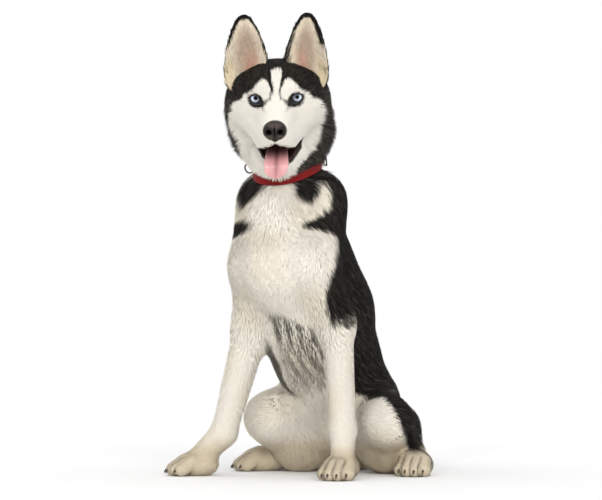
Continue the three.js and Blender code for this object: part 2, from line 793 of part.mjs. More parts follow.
// The cheeks' ruff runs back and down from below the ears to the jaw.
const CHEEK_CENTRE = [20, 48, -45];
const CHEEK_ROWS = [
  { rise: 24, turns: [-6, 24, 54] },
  { rise: 4, turns: [-30, 2, 36] },
  { rise: -24, turns: [-24, 10, 44] },
];
const headCore = framed(headFrame.clone().invert(), core);
function cheekLocks(side) {
  const seats = CHEEK_ROWS.flatMap(({ rise, turns }) => turns.map((turn) => [radians(rise), radians(turn)]));
  return locksOf({
    seed: 31 + side,
    count: seats.length,
    field: headCore,
    depth: 7.5,
    seatAt(n) {
      const [rise, turn] = seats[n];
      const way = [side * Math.cos(rise) * Math.cos(turn), Math.cos(rise) * Math.sin(turn), Math.sin(rise)];
      return surfaceAlong(headCore, [side * CHEEK_CENTRE[0], CHEEK_CENTRE[1], CHEEK_CENTRE[2]], way);
    },
    lie: () => [0.3 * side, 0.4, -0.87],
    length: 46,
    width: 33,
    thick: 5,
  });
}

// The breeches hang from the backs of the thighs and beside the tail.
const THIGH_SEATS = [
  [284, 134],
  [312, 120],
  [282, 102],
  [312, 86],
  [290, 70],
  [314, 52],
];
const RUMP_SEATS = [
  [34, 112],
  [62, 90],
  [40, 70],
];
const breechesLie = (side) => () => [0.2 * side, 0.5, -0.85];
function thighLocks(side) {
  return locksOf({
    seed: 51 + side,
    count: THIGH_SEATS.length,
    field: core,
    depth: 8,
    seatAt(n) {
      const [y, z] = THIGH_SEATS[n];
      return surfaceAlong(core, [60 * side, y, z], [side, 0.2, 0]);
    },
    lie: breechesLie(side),
    length: 44,
    width: 30,
    thick: 5,
  });
}
function rumpLocks(side) {
  return locksOf({
    seed: 61 + side,
    count: RUMP_SEATS.length,
    field: core,
    depth: 8,
    seatAt(n) {
      const [x, z] = RUMP_SEATS[n];
      return surfaceAlong(core, [x * side, 300, z], [0.3 * side, 1, 0]);
    },
    lie: () => [0.45 * side, 0, -0.9],
    length: 38,
    width: 24,
    thick: 6,
  });
}

// The brush of the tail: rows of locks that all lie towards its tip.
const tailCurve = new THREE.CatmullRomCurve3(TAIL_POINTS.map((p) => new THREE.Vector3(...p)));
const TAIL_ROWS = 5;
const TAIL_DEPTHS = [12, 14, 14, 12, 5];
const TAIL_AROUND = [-12, 50, 118, 186];
function tailAt(share) {
  const at = tailCurve.getPointAt(share).toArray();
  const way = tailCurve.getTangentAt(share).toArray();
  return { at, way };
}
function tailLie(p) {
  const shares = Array.from({ length: 25 }, (_, n) => n / 24);
  const nearest = shares.reduce((best, share) => {
    const gap = Math.hypot(...minus(tailAt(share).at, p));
    return gap < best.gap ? { gap, share } : best;
  }, { gap: Infinity, share: 0 });
  return tailAt(nearest.share).way;
}
const brush = Array.from({ length: TAIL_ROWS }, (_, row) =>
  locksOf({
    seed: 71 + row,
    count: TAIL_AROUND.length,
    field: core,
    depth: TAIL_DEPTHS[row],
    seatAt(n, random) {
      const { at, way } = tailAt(0.16 + (0.74 * row) / (TAIL_ROWS - 1));
      const side = unitOf(cross(way, [0, 0, 1]));
      const angle = radians(TAIL_AROUND[n] + (row % 2) * 26 + 12 * (random() - 0.5));
      const out = along(side.map((v) => v * Math.cos(angle)), [0, 0, 1], Math.sin(angle));
      return surfaceAlong(core, at, out);
    },
    lie: tailLie,
    length: 72,
    width: 40,
    thick: 9,
  }),
).flat();

// ---- nodes ----------------------------------------------------------------------------------------------
const group = new THREE.Group();
const body = new THREE.Group();
group.add(body);

function colour(hex, roughness = 0.9, metalness = 0) {
  return new THREE.MeshStandardMaterial({ color: hex, roughness, metalness });
}
const WHITE_COAT = colour("#e9e2d4");
const DARK_COAT = colour("#37322f");
const TAN_COAT = colour("#d8c8aa");

function add(name, cut, material, frame = world) {
  const solid = welded(cut);
  const mesh = new THREE.Mesh(geometryOf(solid), material);
  mesh.name = name;
  mesh.applyMatrix4(frame);
  body.add(mesh);
  return solid;
}

const solids = (locks) => locks.map((one) => lock(one));
// Locks of the neck that hang over the shoulders stay clear of them.
const hanging = ruff.map((one) => placedSolid(lock(one, GAP), collarFrame));
const torso = flesh("torso", world, [-140, -60, 80], [140, 330, 500], 11, 1200);
add("torso", largest(torso.subtract(wasm.Manifold.union(hanging))), WHITE_COAT);
const rumps = solids([...rumpLocks(1), ...rumpLocks(-1)]);
add("hips", flesh("hips", world, [-140, 50, -15], [140, 420, 330], 11, 1100, rumps), WHITE_COAT);
add("tail", flesh("tail", world, [-230, 360, -15], [60, 580, 120], 8, 260, solids(brush)), DARK_COAT);
add("foreleg_left", flesh("foreleg_left", world, [20, 0, 20], [140, 150, 285], 8, 460), WHITE_COAT);
add("foreleg_right", flesh("foreleg_right", world, [-190, 0, 20], [-10, 150, 285], 8, 460), WHITE_COAT);
const leftThigh = solids(thighLocks(1));
const rightThigh = solids(thighLocks(-1));
const leftHind = flesh("hindleg_left", world, [20, 90, -15], [215, 355, 215], 9, 580, leftThigh);
const rightHind = flesh("hindleg_right", world, [-185, 90, -15], [-10, 355, 215], 9, 580, rightThigh);
add("hindleg_left", leftHind, WHITE_COAT);
add("hindleg_right", rightHind, WHITE_COAT);

// ---- collar: a band seated in the coat, its ring and its buckle -----------------------------------------
const BAND_HALF = 6;
const BAND_THICK = 3;
const BAND_SUNK = 1;
const BAND_STEPS = 30;
const bandField = framed(collarFrame.clone().invert(), core);
function neckRadius(angle, z) {
  let r = 30;
  while (r < 110 && bandField(r * Math.cos(angle), r * Math.sin(angle), z) < 0) r += 0.5;
  return r;
}
const bandEdges = (angle) => [-BAND_HALF, BAND_HALF].map((z) => neckRadius(angle, z) - BAND_SUNK);
function band(grow) {
  const rings = Array.from({ length: BAND_STEPS }, (_, n) => {
    const angle = (2 * Math.PI * n) / BAND_STEPS;
    const [low, high] = bandEdges(angle);
    const out = BAND_THICK + grow;
    const half = BAND_HALF + grow;
    const at = (r, z) => [r * Math.cos(angle), r * Math.sin(angle), z];
    return [at(low - grow, -half), at(low + out, -half), at(high + out, half), at(high - grow, half)];
  });
  return solidOfMesh(loop(rings));
}
const LEATHER = colour("#8c1620", 0.6);
const STEEL = colour("#4a4744", 0.35, 0.9);
add("collar", band(0), LEATHER, collarFrame);

// A frame on the band's outside at `degrees` round the neck: x along the band, y out of it, z up.
function onBand(degrees) {
  const spread = [-15, -10, -5, 0, 5, 10, 15].map((d) => {
    const outer = Math.max(...bandEdges(radians(degrees + d))) + BAND_THICK;
    return outer * Math.cos(radians(d));
  });
  const radius = Math.max(...spread);
  const turned = new THREE.Matrix4().makeRotationZ(radians(degrees - 90));
  const out = new THREE.Vector3(0, radius + GAP, 0).applyMatrix4(turned);
  return turned.setPosition(out);
}
const RING_RADIUS = 7.5;
const RING_WIRE = 1.3;
const RING_OUT = 9.2;
const RING_Z = -6.5;
const KEEPER = [6, 5, 6];
const KEEPER_Z = -3;
function ring(grow) {
  const torus = new THREE.TorusGeometry(RING_RADIUS, RING_WIRE + grow, 6, 18);
  return solidOfGeometry(torus.rotateY(Math.PI / 2).translate(0, RING_OUT, RING_Z));
}
const BUCKLE = { width: 20, height: 17, wire: 2.6, deep: 2.4, round: 2.5 };
function roundedFrame({ width, height, wire, deep, round }) {
  const outline = (w, h, r) =>
    new THREE.Path()
      .moveTo(-w / 2 + r, -h / 2)
      .lineTo(w / 2 - r, -h / 2)
      .quadraticCurveTo(w / 2, -h / 2, w / 2, -h / 2 + r)
      .lineTo(w / 2, h / 2 - r)
      .quadraticCurveTo(w / 2, h / 2, w / 2 - r, h / 2)
      .lineTo(-w / 2 + r, h / 2)
      .quadraticCurveTo(-w / 2, h / 2, -w / 2, h / 2 - r)
      .lineTo(-w / 2, -h / 2 + r)
      .quadraticCurveTo(-w / 2, -h / 2, -w / 2 + r, -h / 2);
  const shape = new THREE.Shape(outline(width, height, round).getPoints(3));
  shape.holes.push(outline(width - 2 * wire, height - 2 * wire, round / 2));
  const plate = new THREE.ExtrudeGeometry(shape, { depth: deep, bevelEnabled: false, curveSegments: 3 });
  return solidOfGeometry(plate.rotateX(Math.PI / 2).translate(0, deep, 0));
}
const block = (size, grow, z) =>
  new THREE.BoxGeometry(...size.map((v) => v + 2 * grow)).translate(0, size[1] / 2, z);
const ringPlace = onBand(174);
const bucklePlace = onBand(45);
const hardware = [
  solidOfGeometry(block(KEEPER, GAP, KEEPER_Z), ringPlace),
  solidOfGeometry(block([BUCKLE.width, BUCKLE.deep, BUCKLE.height], GAP, 0), bucklePlace),
  placedSolid(ring(GAP), ringPlace),
  band(GAP),
];
const neckFlesh = flesh("neck", collarFrame, [-120, -135, -75], [120, 165, 40], 8, 550, solids(ruff), true);
add("neck", largest(hardware.reduce((a, b) => a.subtract(b), neckFlesh)), WHITE_COAT, collarFrame);
const keeper = solidOfGeometry(block(KEEPER, 0, KEEPER_Z));
add("collar_keeper", keeper.subtract(ring(GAP)), LEATHER, collarFrame.clone().multiply(ringPlace));
add("collar_ring", ring(0), STEEL, collarFrame.clone().multiply(ringPlace));
add("collar_buckle", roundedFrame(BUCKLE), STEEL, collarFrame.clone().multiply(bucklePlace));

// ---- paws with claws ------------------------------------------------------------------------------------
// A claw is a short horn of `sides` sides along a path that bends down.
function horn(path, radii, sides) {
  const curve = new THREE.CatmullRomCurve3(path.map((p) => new THREE.Vector3(...p)));
  const steps = radii.length - 1;
  const { normals, binormals } = curve.computeFrenetFrames(steps, false);
  const rings = radii.map((radius, r) => {
    const at = curve.getPointAt(r / steps);
    return Array.from({ length: sides }, (_, i) => {
      const angle = (2 * Math.PI * i) / sides;
      const out = normals[r].clone().multiplyScalar(Math.cos(angle) * radius);
      return at.clone().add(out.addScaledVector(binormals[r], Math.sin(angle) * radius)).toArray();
    });
  });
  return solidOfMesh(loft(rings));
}

const CLAW_RADII = [3.6, 3.4, 2.4, 1];
function claws() {
  return TOE_SPREAD.map((x, i) => {
    const tip = TOE_REACH[i] - 11;
    const path = [
      [x * 0.98, tip + 9, 12],
      [x, tip + 1, 12],
      [x * 1.02, tip - 5, 6],
    ];
    return horn(path, CLAW_RADII, 6);
  });
}

for (const [name, frame] of Object.entries(pawFrames)) {
  const pad = flesh(`paw_${name}`, frame, [-50, -74, -10], [50, 54, 50], 5, 290);
  add(`paw_${name}`, largest(claws().reduce((a, b) => a.add(b), pad)), TAN_COAT, frame);
}

// ---- head: eyes in their lids, nose, tongue and ears seated in the flesh -------------------------------
const EYE_AT = [EYE_SPREAD, 3, 2.5];
const LID_TILT = 14; // degrees that the outer corner lies above the inner
const LID_WIDTH = 10.5;
const LID_UP = 7.4;
const LID_DOWN = 7;

// A point of the eye's opening at `angle`, widened by `grow`, from the eye's middle (x out, z up).
function lidPoint(angle, side, grow = 0) {
  const c = Math.cos(angle);
  const x = (LID_WIDTH + grow) * c;
  const z = ((Math.sin(angle) > 0 ? LID_UP : LID_DOWN) + grow) * Math.sin(angle) * (1 - 0.15 * c * c);
  const tilt = radians(LID_TILT);
  return [side * (x * Math.cos(tilt) - z * Math.sin(tilt)), x * Math.sin(tilt) + z * Math.cos(tilt)];
}

function eyeball(side, grow) {
  const sphere = new THREE.SphereGeometry(EYE_RADIUS + grow, 14, 8);
  return solidOfGeometry(sphere.translate(EYE_AT[0] * side, EYE_AT[1], EYE_AT[2]));
}

const RING_STEPS = 18;
function lidRing(side) {
  const rings = Array.from({ length: RING_STEPS }, (_, n) => {
    const angle = (2 * Math.PI * n) / RING_STEPS;
    const inner = lidPoint(angle, side, 0.6);
    const outer = lidPoint(angle, side, 5.5);
    const depth = ([x, z], radius) => EYE_AT[1] - Math.sqrt(Math.max(4, radius ** 2 - x * x - z * z));
    const at = ([x, z], y) => [EYE_AT[0] * side + x, y, EYE_AT[2] + z];
    const middle = inner.map((v, c) => (v + outer[c]) / 2);
    return [
      at(inner, depth(inner, EYE_RADIUS + 0.4)),
      at(inner, depth(inner, EYE_RADIUS + 1.9)),
      at(middle, depth(middle, EYE_RADIUS + 3.4)),
      at(outer, depth(outer, EYE_RADIUS + 3)),
      at(outer, EYE_AT[1] + 6),
      at(inner, EYE_AT[1] + 3),
    ];
  });
  return solidOfMesh(loop(rings));
}

function eyeOpening(side) {
  const rings = [-40, EYE_AT[1] + 1].map((y) =>
    Array.from({ length: RING_STEPS }, (_, n) => {
      const [x, z] = lidPoint((2 * Math.PI * n) / RING_STEPS, side, 0.8);
      return [EYE_AT[0] * side + x, y, EYE_AT[2] + z];
    }),
  );
  return solidOfMesh(loft(rings));
}

// The nose pad: broad at the nostrils, narrowing to the cleft of the lip.
const NOSE_AT = [0, -89, -29];
const nostril = (m) => limb(m([8.5, -18, -3]), m([11, -2, 0]), 3.2, 4, 2);
const slit = (m) => limb(m([10, -15, -4]), m([16.5, -8, -5]), 1.6, 1.2, 2);
const nosePad = joined([
  ball([0, 0, 2], [17, 13, 11.5], 3),
  limb([0, -6, -2], [0, -4, -13], 9, 5, 8),
  ...pair((m) => ball(m([10, -4, -2]), [7.5, 9, 8.5], 5)),
]);
const nostrils = joined([...pair(nostril), ...pair(slit)]);
function nose(x, y, z) {
  const px = x - NOSE_AT[0];
  const py = y - NOSE_AT[1];
  const pz = z - NOSE_AT[2];
  const cleft = Math.hypot(px, Math.max(0, py + 11)) - 0.9 + 0.05 * Math.max(0, pz + 4);
  return blendMax(blendMax(nosePad(px, py, pz), -nostrils(px, py, pz), 1.5), -cleft, 1.5);
}
const noseMesh = facingOut(thinned(polygonise(nose, [-22, -112, -54], [22, -68, -8], 2.1), 440, nose));

// A copy of a mesh with each face moved out by about `by`, for the socket that it sits in.
function grown({ points, faces }, by) {
  const normals = points.map(() => [0, 0, 0]);
  for (const face of faces) {
    const corners = face.map((p) => points[p]);
    const normal = normalOf(corners);
    const size = Math.hypot(...normal) || 1;
    face.forEach((p, n) => {
      const u = minus(corners[(n + 1) % 3], corners[n]);
      const v = minus(corners[(n + 2) % 3], corners[n]);
      const angle = Math.atan2(Math.hypot(...cross(u, v)), dot(u, v));
      normals[p] = normals[p].map((value, c) => value + (angle * normal[c]) / size);
    });
  }
  const moved = points.map((p, n) => {
    const size = Math.hypot(...normals[n]) || 1;
    return p.map((v, c) => v + (by * normals[n][c]) / size);
  });
  return solidOfMesh({ points: moved, faces });
}

// The tongue lies in the jaw and hangs over its front, with a groove along its middle.
const TONGUE_PATH = [
  [0, -4, -67],
  [0, -26, -71],
  [-0.5, -48, -78],
  [-1, -63, -88],
  [-2, -68, -99],
  [-2.5, -67, -108],
];
const TONGUE_HALF_WIDTH = [11, 15, 17, 18.5, 16, 5];
const TONGUE_HALF_DEPTH = [4, 5, 5, 4, 3.2, 2];
const TONGUE_SECTION = [-1, -0.75, -0.4, 0, 0.4, 0.75, 1];
function tongue() {
  const curve = new THREE.CatmullRomCurve3(TONGUE_PATH.map((p) => new THREE.Vector3(...p)));
  const steps = 13;
  const sample = (list, t) => {
    const at = t * (list.length - 1);
    const low = Math.min(Math.floor(at), list.length - 2);
    return list[low] + (list[low + 1] - list[low]) * (at - low);
  };
  const rings = Array.from({ length: steps + 1 }, (_, n) => {
    const t = n / steps;
    const at = curve.getPoint(t);
    const along = curve.getTangent(t);
    const up = new THREE.Vector3(1, 0, 0).cross(along).normalize().negate();
    const round = Math.sqrt(Math.min(1, (1 - t) * 9 + 0.12));
    const half = sample(TONGUE_HALF_WIDTH, t) * round;
    const depth = sample(TONGUE_HALF_DEPTH, t);
    const point = (u, side) => {
      const groove = side > 0 ? 1.6 * Math.exp(-((u * 5) ** 2)) : 0;
      const rise = side * depth * Math.sqrt(1 - 0.92 * u * u) - groove + 1.5 * u * u;
      return at.clone().addScaledVector(up, rise).add(new THREE.Vector3(half * u, 0, 0)).toArray();
    };
    const back = [...TONGUE_SECTION].reverse();
    return [...TONGUE_SECTION.map((u) => point(u, 1)), ...back.map((u) => point(u, -1))];
  });
  return loft(rings);
}

// An ear is a cup that opens forward, from inside the head to its tip.
const EAR_FOOT = 5;
const EAR_TIP = EAR_FOOT + EAR_HEIGHT;
const EAR_WIDEST = 57;
const EAR_HALF_WIDTH = 31;
const EAR_ROWS = 10;
const EAR_COLUMNS = [-1, -0.8, -0.5, -0.15, 0.2, 0.55, 0.82, 1];
function ear(side) {
  const tipX = side > 0 ? 50 : 47.5;
  const rows = Array.from({ length: EAR_ROWS + 1 }, (_, r) => {
    const narrowing = 1 - r / EAR_ROWS;
    const z = EAR_TIP - (EAR_TIP - EAR_FOOT) * narrowing ** 2;
    const foot = Math.max(0, (EAR_WIDEST - z) / (EAR_WIDEST - EAR_FOOT));
    const taper = Math.sqrt(Math.max(0, EAR_TIP - z) / (EAR_TIP - EAR_WIDEST));
    const half = Math.max(1.6, EAR_HALF_WIDTH * Math.min(1, taper) - 5 * foot ** 2 - 12 * foot ** 4);
    const up = Math.max(0, (z - EAR_WIDEST) / (EAR_TIP - EAR_WIDEST));
    const middle = 45 + (tipX - 45) * up + 5 * foot;
    const cup = 21 * (1 - 0.75 * up) * (half / EAR_HALF_WIDTH);
    const lean = 30 + 16 * ((z - EAR_FOOT) / (EAR_TIP - EAR_FOOT));
    const thick = 2.6 - 0.9 * up;
    return EAR_COLUMNS.map((u) => ({
      x: middle + half * u,
      y: lean + cup * (1 - u * u) - 3 * u,
      z,
      bend: (-2 * cup * u) / half,
      thick: thick * (1 - 0.35 * u * u),
      rim: Math.abs(u) === 1 ? Math.sign(u) : 0,
    }));
  });
  const face = (row, way) =>
    row.map(({ x, y, z, bend, thick, rim }) => {
      const size = Math.hypot(1, bend);
      return [side * (x - (way * thick * bend) / size + rim), y + (way * thick) / size, z];
    });
  return loft(rows.map((row) => [...face(row, -1), ...face(row, 1).reverse()]));
}

const SOCKET = GAP + 0.15; // growth that keeps GAP also past rounded edges
const sides = [
  ["left", 1],
  ["right", -1],
];
const cheeks = solids([...cheekLocks(1), ...cheekLocks(-1)]);
let head = flesh("head", headFrame, [-100, -115, -170], [100, 155, 80], 5.5, 2310, cheeks);
for (const [, side] of sides)
  head = head
    .subtract(eyeOpening(side))
    .add(lidRing(side))
    .subtract(eyeball(side, GAP))
    .subtract(grown(ear(side), SOCKET));
head = head.subtract(grown(noseMesh, SOCKET)).subtract(grown(tongue(), SOCKET));
const chin = flesh("jaw", headFrame, [-100, -100, -140], [100, 45, -35], 5, 850);
const jaw = chin.subtract(grown(tongue(), SOCKET));
add("head", largest(head), WHITE_COAT, headFrame);
add("jaw", largest(jaw), WHITE_COAT, headFrame);
add("nose", solidOfMesh(noseMesh), colour("#3b2c28", 0.45), headFrame);
add("tongue", solidOfMesh(tongue()), colour("#dd8f97", 0.4), headFrame);
for (const [name, side] of sides) {
  add(`eye_${name}`, eyeball(side, 0), colour("#bcd3ea", 0.1), headFrame);
  add(`ear_${name}`, solidOfMesh(ear(side)), DARK_COAT, headFrame);
}

// The origin is the middle of the footprint, on the floor.
const bounds = new THREE.Box3().setFromObject(body, true);
const middle = bounds.getCenter(new THREE.Vector3());
body.position.set(-middle.x, -middle.y, -bounds.min.z);

export default group;
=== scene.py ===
"""Skin, coat, face, feet and collar of a sitting husky pup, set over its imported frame."""

import math

import bmesh
import bpy
import numpy as np
from mathutils import Matrix, Vector


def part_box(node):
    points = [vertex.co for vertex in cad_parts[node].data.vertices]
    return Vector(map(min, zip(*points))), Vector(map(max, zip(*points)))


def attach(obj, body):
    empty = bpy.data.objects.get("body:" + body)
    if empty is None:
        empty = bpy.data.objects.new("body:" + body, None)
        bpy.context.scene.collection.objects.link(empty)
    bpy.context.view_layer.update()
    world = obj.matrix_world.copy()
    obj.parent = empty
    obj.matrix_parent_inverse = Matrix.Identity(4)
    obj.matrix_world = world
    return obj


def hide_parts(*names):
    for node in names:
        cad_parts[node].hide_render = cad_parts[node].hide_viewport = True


bl_info = {
    "name": "Sitting husky",
    "version": (1, 0, 0),
    "blender": (4, 5, 0),
    "location": "View3D > Sidebar > Husky",
    "description": "Dresses the frame of a sitting husky pup with skin, coat, face, feet and collar",
    "category": "Object",
}

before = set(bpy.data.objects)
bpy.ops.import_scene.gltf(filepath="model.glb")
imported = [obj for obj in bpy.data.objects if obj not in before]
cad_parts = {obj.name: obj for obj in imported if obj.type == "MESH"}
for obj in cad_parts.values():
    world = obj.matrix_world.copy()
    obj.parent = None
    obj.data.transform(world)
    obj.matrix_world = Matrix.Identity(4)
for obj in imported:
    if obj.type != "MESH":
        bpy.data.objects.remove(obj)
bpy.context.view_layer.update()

# ---- places --------------------------------------------------------------------------------------
# Shapes are worked out in millimetres in the dog's own frame: +X its left, -Y the way its chest faces.
EYES = np.array([12.0, -7.0, 574.0])
HEAD_PITCH, HEAD_ROLL, HEAD_YAW = (math.radians(v) for v in (18.0, -1.5, 23.5))
HEAD_TURN = np.array(
    Matrix.Rotation(HEAD_YAW, 3, "Z")
    @ Matrix.Rotation(HEAD_PITCH, 3, "X")
    @ Matrix.Rotation(HEAD_ROLL, 3, "Y")
)
EYE_AT = np.array([31.5, 3.0, 2.5])
EYE_RADIUS = 11.0


def centre_of(node):
    low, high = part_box(node)
    return (np.array(low) + np.array(high)) * 500.0


# The middle of the footprint, read from where the left eye stands.
MIDDLE = HEAD_TURN @ EYE_AT + EYES - centre_of("eye_left")
MIDDLE[2] = 0.0


def row(points):
    """Millimetres in the dog's frame to metres in the row's frame."""
    return (np.asarray(points, dtype=float) - MIDDLE) / 1000.0


def in_head(points):
    return (np.asarray(points) - EYES) @ HEAD_TURN


def from_head(points):
    return np.asarray(points) @ HEAD_TURN.T + EYES


def turning(degrees):
    """A turn about the vertical."""
    return np.array(Matrix.Rotation(math.radians(degrees), 3, "Z"))


def turned(points, at, degrees):
    """Points of the dog's frame in a frame at `at`, turned about the vertical."""
    return (np.asarray(points) - np.array(at)) @ turning(degrees)


COLLAR_AT = np.array([-4.0, 60.0, 478.0])
COLLAR_HINGE, COLLAR_TILT = math.radians(12.0), math.radians(22.0)
COLLAR_AXIS = Vector((math.cos(COLLAR_HINGE), math.sin(COLLAR_HINGE), 0.0))
COLLAR_TURN = np.array(Matrix.Rotation(COLLAR_TILT, 3, COLLAR_AXIS))


def in_collar(points):
    return (np.asarray(points) - COLLAR_AT) @ COLLAR_TURN


def from_collar(points):
    return np.asarray(points) @ COLLAR_TURN.T + COLLAR_AT


def collar_height(points):
    return in_collar(points)[:, 2]


PAWS = {
    "front_left": ((95.0, 46.0, 0.0), 6.0),
    "front_right": ((-154.0, 46.0, 0.0), -52.0),
    "hind_left": ((160.0, 188.0, 0.0), 8.0),
    "hind_right": ((-118.0, 203.0, 0.0), -55.0),
}

# ---- form: rounded limbs and balls blended into one distance -------------------------------------


def rise(value, edge):
    """0 well below zero, 1 well above, with a soft step 2 * edge wide."""
    t = np.clip(value / (2.0 * edge) + 0.5, 0.0, 1.0)
    return t * t * (3.0 - 2.0 * t)


def fall(value, edge):
    """1 well below zero, 0 well above, with the same soft step."""
    return 1.0 - rise(value, edge)


def laid_over(colours, colour, share):
    share = share[:, None]
    return colours * (1.0 - share) + colour * share


def segment(p, a, b):
    """Distance to a segment in a plane, and how far along it."""
    a, b = np.array(a, dtype=float), np.array(b, dtype=float)
    d = b - a
    t = np.clip((p - a) @ d / (d @ d), 0.0, 1.0)
    return np.linalg.norm(p - a - t[:, None] * d, axis=1), t


def spot(p, centre, radii, edge=0.2):
    """Share of a soft-edged patch round a place."""
    return fall(np.linalg.norm((p - centre) / np.array(radii, dtype=float), axis=1) - 1.0, edge)


def limb(a, b, ra, rb, blend, flat=1.0, side=(1.0, 0.0, 0.0)):
    """A rod that tapers from ra at a to rb at b; flat above 1 narrows it along side."""
    a, b, side = (np.array(v, dtype=np.float32) for v in (a, b, side))
    d = b - a
    squared = float(d @ d)

    def at(p):
        q = p - a
        if flat != 1.0:
            q = q + ((q @ side) * np.float32(flat - 1.0))[:, None] * side
        t = np.clip(q @ d / squared, 0.0, 1.0)
        r = q - t[:, None] * d
        return np.sqrt(np.einsum("ij,ij->i", r, r)) - (ra + (rb - ra) * t)

    return blend, at


def ball(centre, radii, blend):
    centre, radii = np.array(centre, dtype=np.float32), np.array(radii, dtype=np.float32)

    def at(p):
        q = (p - centre) / radii
        scaled = np.sqrt(np.einsum("ij,ij->i", q, q))
        q = q / radii
        slope = np.sqrt(np.einsum("ij,ij->i", q, q)) + 1e-9
        return scaled * (scaled - 1.0) / slope

    return blend, at


def mirrored(make):
    return [make(1.0), make(-1.0)]


def blend_min(a, b, k):
    h = np.maximum(k - np.abs(a - b), 0.0) / k
    return np.minimum(a, b) - h * h * k * 0.25


def blend_max(a, b, k):
    return -blend_min(-a, -b, k)


def joined(shapes, p):
    value = np.full(len(p), 1e3, dtype=np.float32)
    for blend, at in shapes:
        value = blend_min(value, at(p), blend)
    return value


TRUNK = [
    ball((-4, 78, 403), (74, 64, 66), 20),
    limb((-54, 74, 438), (50, 80, 436), 31, 32, 16),
    limb((-3, 98, 335), (0, 165, 250), 92, 97, 30, 92 / 86),
    limb((0, 165, 250), (0, 222, 180), 97, 82, 20, 97 / 86),
    limb((0, 222, 180), (0, 275, 115), 80, 78, 20),
    ball((0, 305, 84), (80, 80, 87), 20),
    ball((0, 18, 345), (60, 44, 72), 30),
    limb((0, 24, 320), (0, 112, 232), 44, 50, 40, 0.85),
    ball((-30, 148, 170), (28, 34, 36), 25),
]
NECK = [limb((-8, 64, 560), (-6, 82, 425), 43, 63, 24), limb((0, 38, 505), (0, 30, 400), 36, 54, 24)]
TAIL_POINTS = [(0, 366, 62), (-10, 418, 40), (-44, 470, 36), (-98, 506, 35), (-158, 510, 32)]
TAIL_RADII = [30, 34, 38, 36, 18]
TAIL = [
    limb(a, b, thick_a, thick_b, 32)
    for a, b, thick_a, thick_b in zip(TAIL_POINTS, TAIL_POINTS[1:], TAIL_RADII, TAIL_RADII[1:])
]


def foreleg(blade, shoulder, elbow, wrist, paw, thick):
    return [
        limb(blade, shoulder, 40, 34, 30),
        limb(shoulder, elbow, 34, thick + 2, 25),
        limb(elbow, wrist, thick, 20.5, 20),
        limb(wrist, (paw[0], paw[1] + 6, 22), 21, 19, 10),
    ]


def hindleg(hip, knee, calf, hock, paw):
    return [
        limb(hip, knee, 52, 36, 40),
        limb(knee, calf, 36, 46, 30),
        limb(calf, hock, 42, 23, 25),
        limb(hock, (paw[0], paw[1], 20), 22, 20, 15),
    ]


FORELEGS = [
    *foreleg((46, 74, 412), (54, 34, 325), (75, 77, 236), (90, 62, 74), PAWS["front_left"][0], 25),
    *foreleg((-48, 70, 412), (-45, 34, 325), (-72, 80, 232), (-114, 66, 66), PAWS["front_right"][0], 29),
]
HINDLEGS = [
    *hindleg((36, 272, 106), (120, 166, 84), (98, 222, 48), (114, 285, 25), PAWS["hind_left"][0]),
    ball((104, 260, 70), (34, 38, 40), 20),
    *hindleg((-48, 276, 110), (-78, 158, 88), (-52, 222, 46), (-56, 290, 25), PAWS["hind_right"][0]),
]
TOE_SPREAD, TOE_REACH = (-19, -7, 7, 19), (-24, -34, -34, -24)
PAW = [ball((0, 6, 17), (26, 32, 20), 6)] + [
    limb((x * 0.75, y + 18, 22), (x, y, 10), 12, 11, 3) for x, y in zip(TOE_SPREAD, TOE_REACH)
]
HEAD = [
    ball((0, 52, 8), (58, 66, 46), 10),
    ball((0, 14, 12), (42, 34, 32), 20),
    *mirrored(lambda s: limb((10 * s, -4, 17), (34 * s, 2, 17), 13, 11, 10)),
    limb((0, -5, -20), (0, -74, -36), 34, 23, 22),
    *mirrored(lambda s: limb((30 * s, -8, -40), (12 * s, -68, -47), 14, 15, 10)),
    *mirrored(lambda s: ball((27 * s, 8, -24), (22, 26, 24), 16)),
    *mirrored(lambda s: ball((44 * s, 28, -22), (28, 38, 30), 20)),
    *mirrored(lambda s: ball((50 * s, 46, 0), (24, 34, 30), 20)),
    *mirrored(lambda s: ball((50 * s, 58, -28), (32, 40, 52), 20)),
    *mirrored(lambda s: ball((36 * s, 50, -68), (36, 38, 38), 20)),
    limb((0, 26, -80), (0, -44, -99), 32, 16, 12, 0.72),
    *mirrored(lambda s: limb((33 * s, -4, -77), (20 * s, -36, -92), 8, 7, 8)),
    ball((54, 54, -60), (30, 36, 36), 16),
]
FLEWS = mirrored(lambda s: limb((34 * s, -6, -50), (20 * s, -52, -56), 8, 11, 8))

MOUTH_CORNER = (47.0, -1.0, -54.0)
UPPER_LIP = np.array(
    [(-90, -54), (-76, -59), (-68, -62), (-55, -65.5), (-35, -66.5), (-20, -64.5)]
    + [(-12, -61.5), (-6, -58), (-1, -54)]
)
UNDER_LIP = np.array([(-80, -104), (-60, -93), (-45, -86), (-28, -78), (-12, -69), (-5, -61.5), (-1, -54)])
MOUTH_HOLLOWS = [
    limb((0, 4, -55), (0, -72, -60), 25, 14, 2, 2.0, (0, 0, 1)),
    limb((0, 4, -65), (0, -48, -90), 25, 14, 2, 2.0, (0, 0, 1)),
]
LOWER_LIP = [(39, 2, -59), (32, -7, -68.5), (28, -16, -74), (22, -32, -82), (13, -45, -87), (0, -49, -88)]
LIP_ROLLS = [
    limb((x * s, y, z + 1.5 - s), (u * s, v, w + 1.5 - s), 2.0, 2.0, 2)
    for s in (1, -1)
    for (x, y, z), (u, v, w) in zip(LOWER_LIP, LOWER_LIP[1:])
]


def table(line, at):
    return np.interp(at, line[:, 0], line[:, 1])


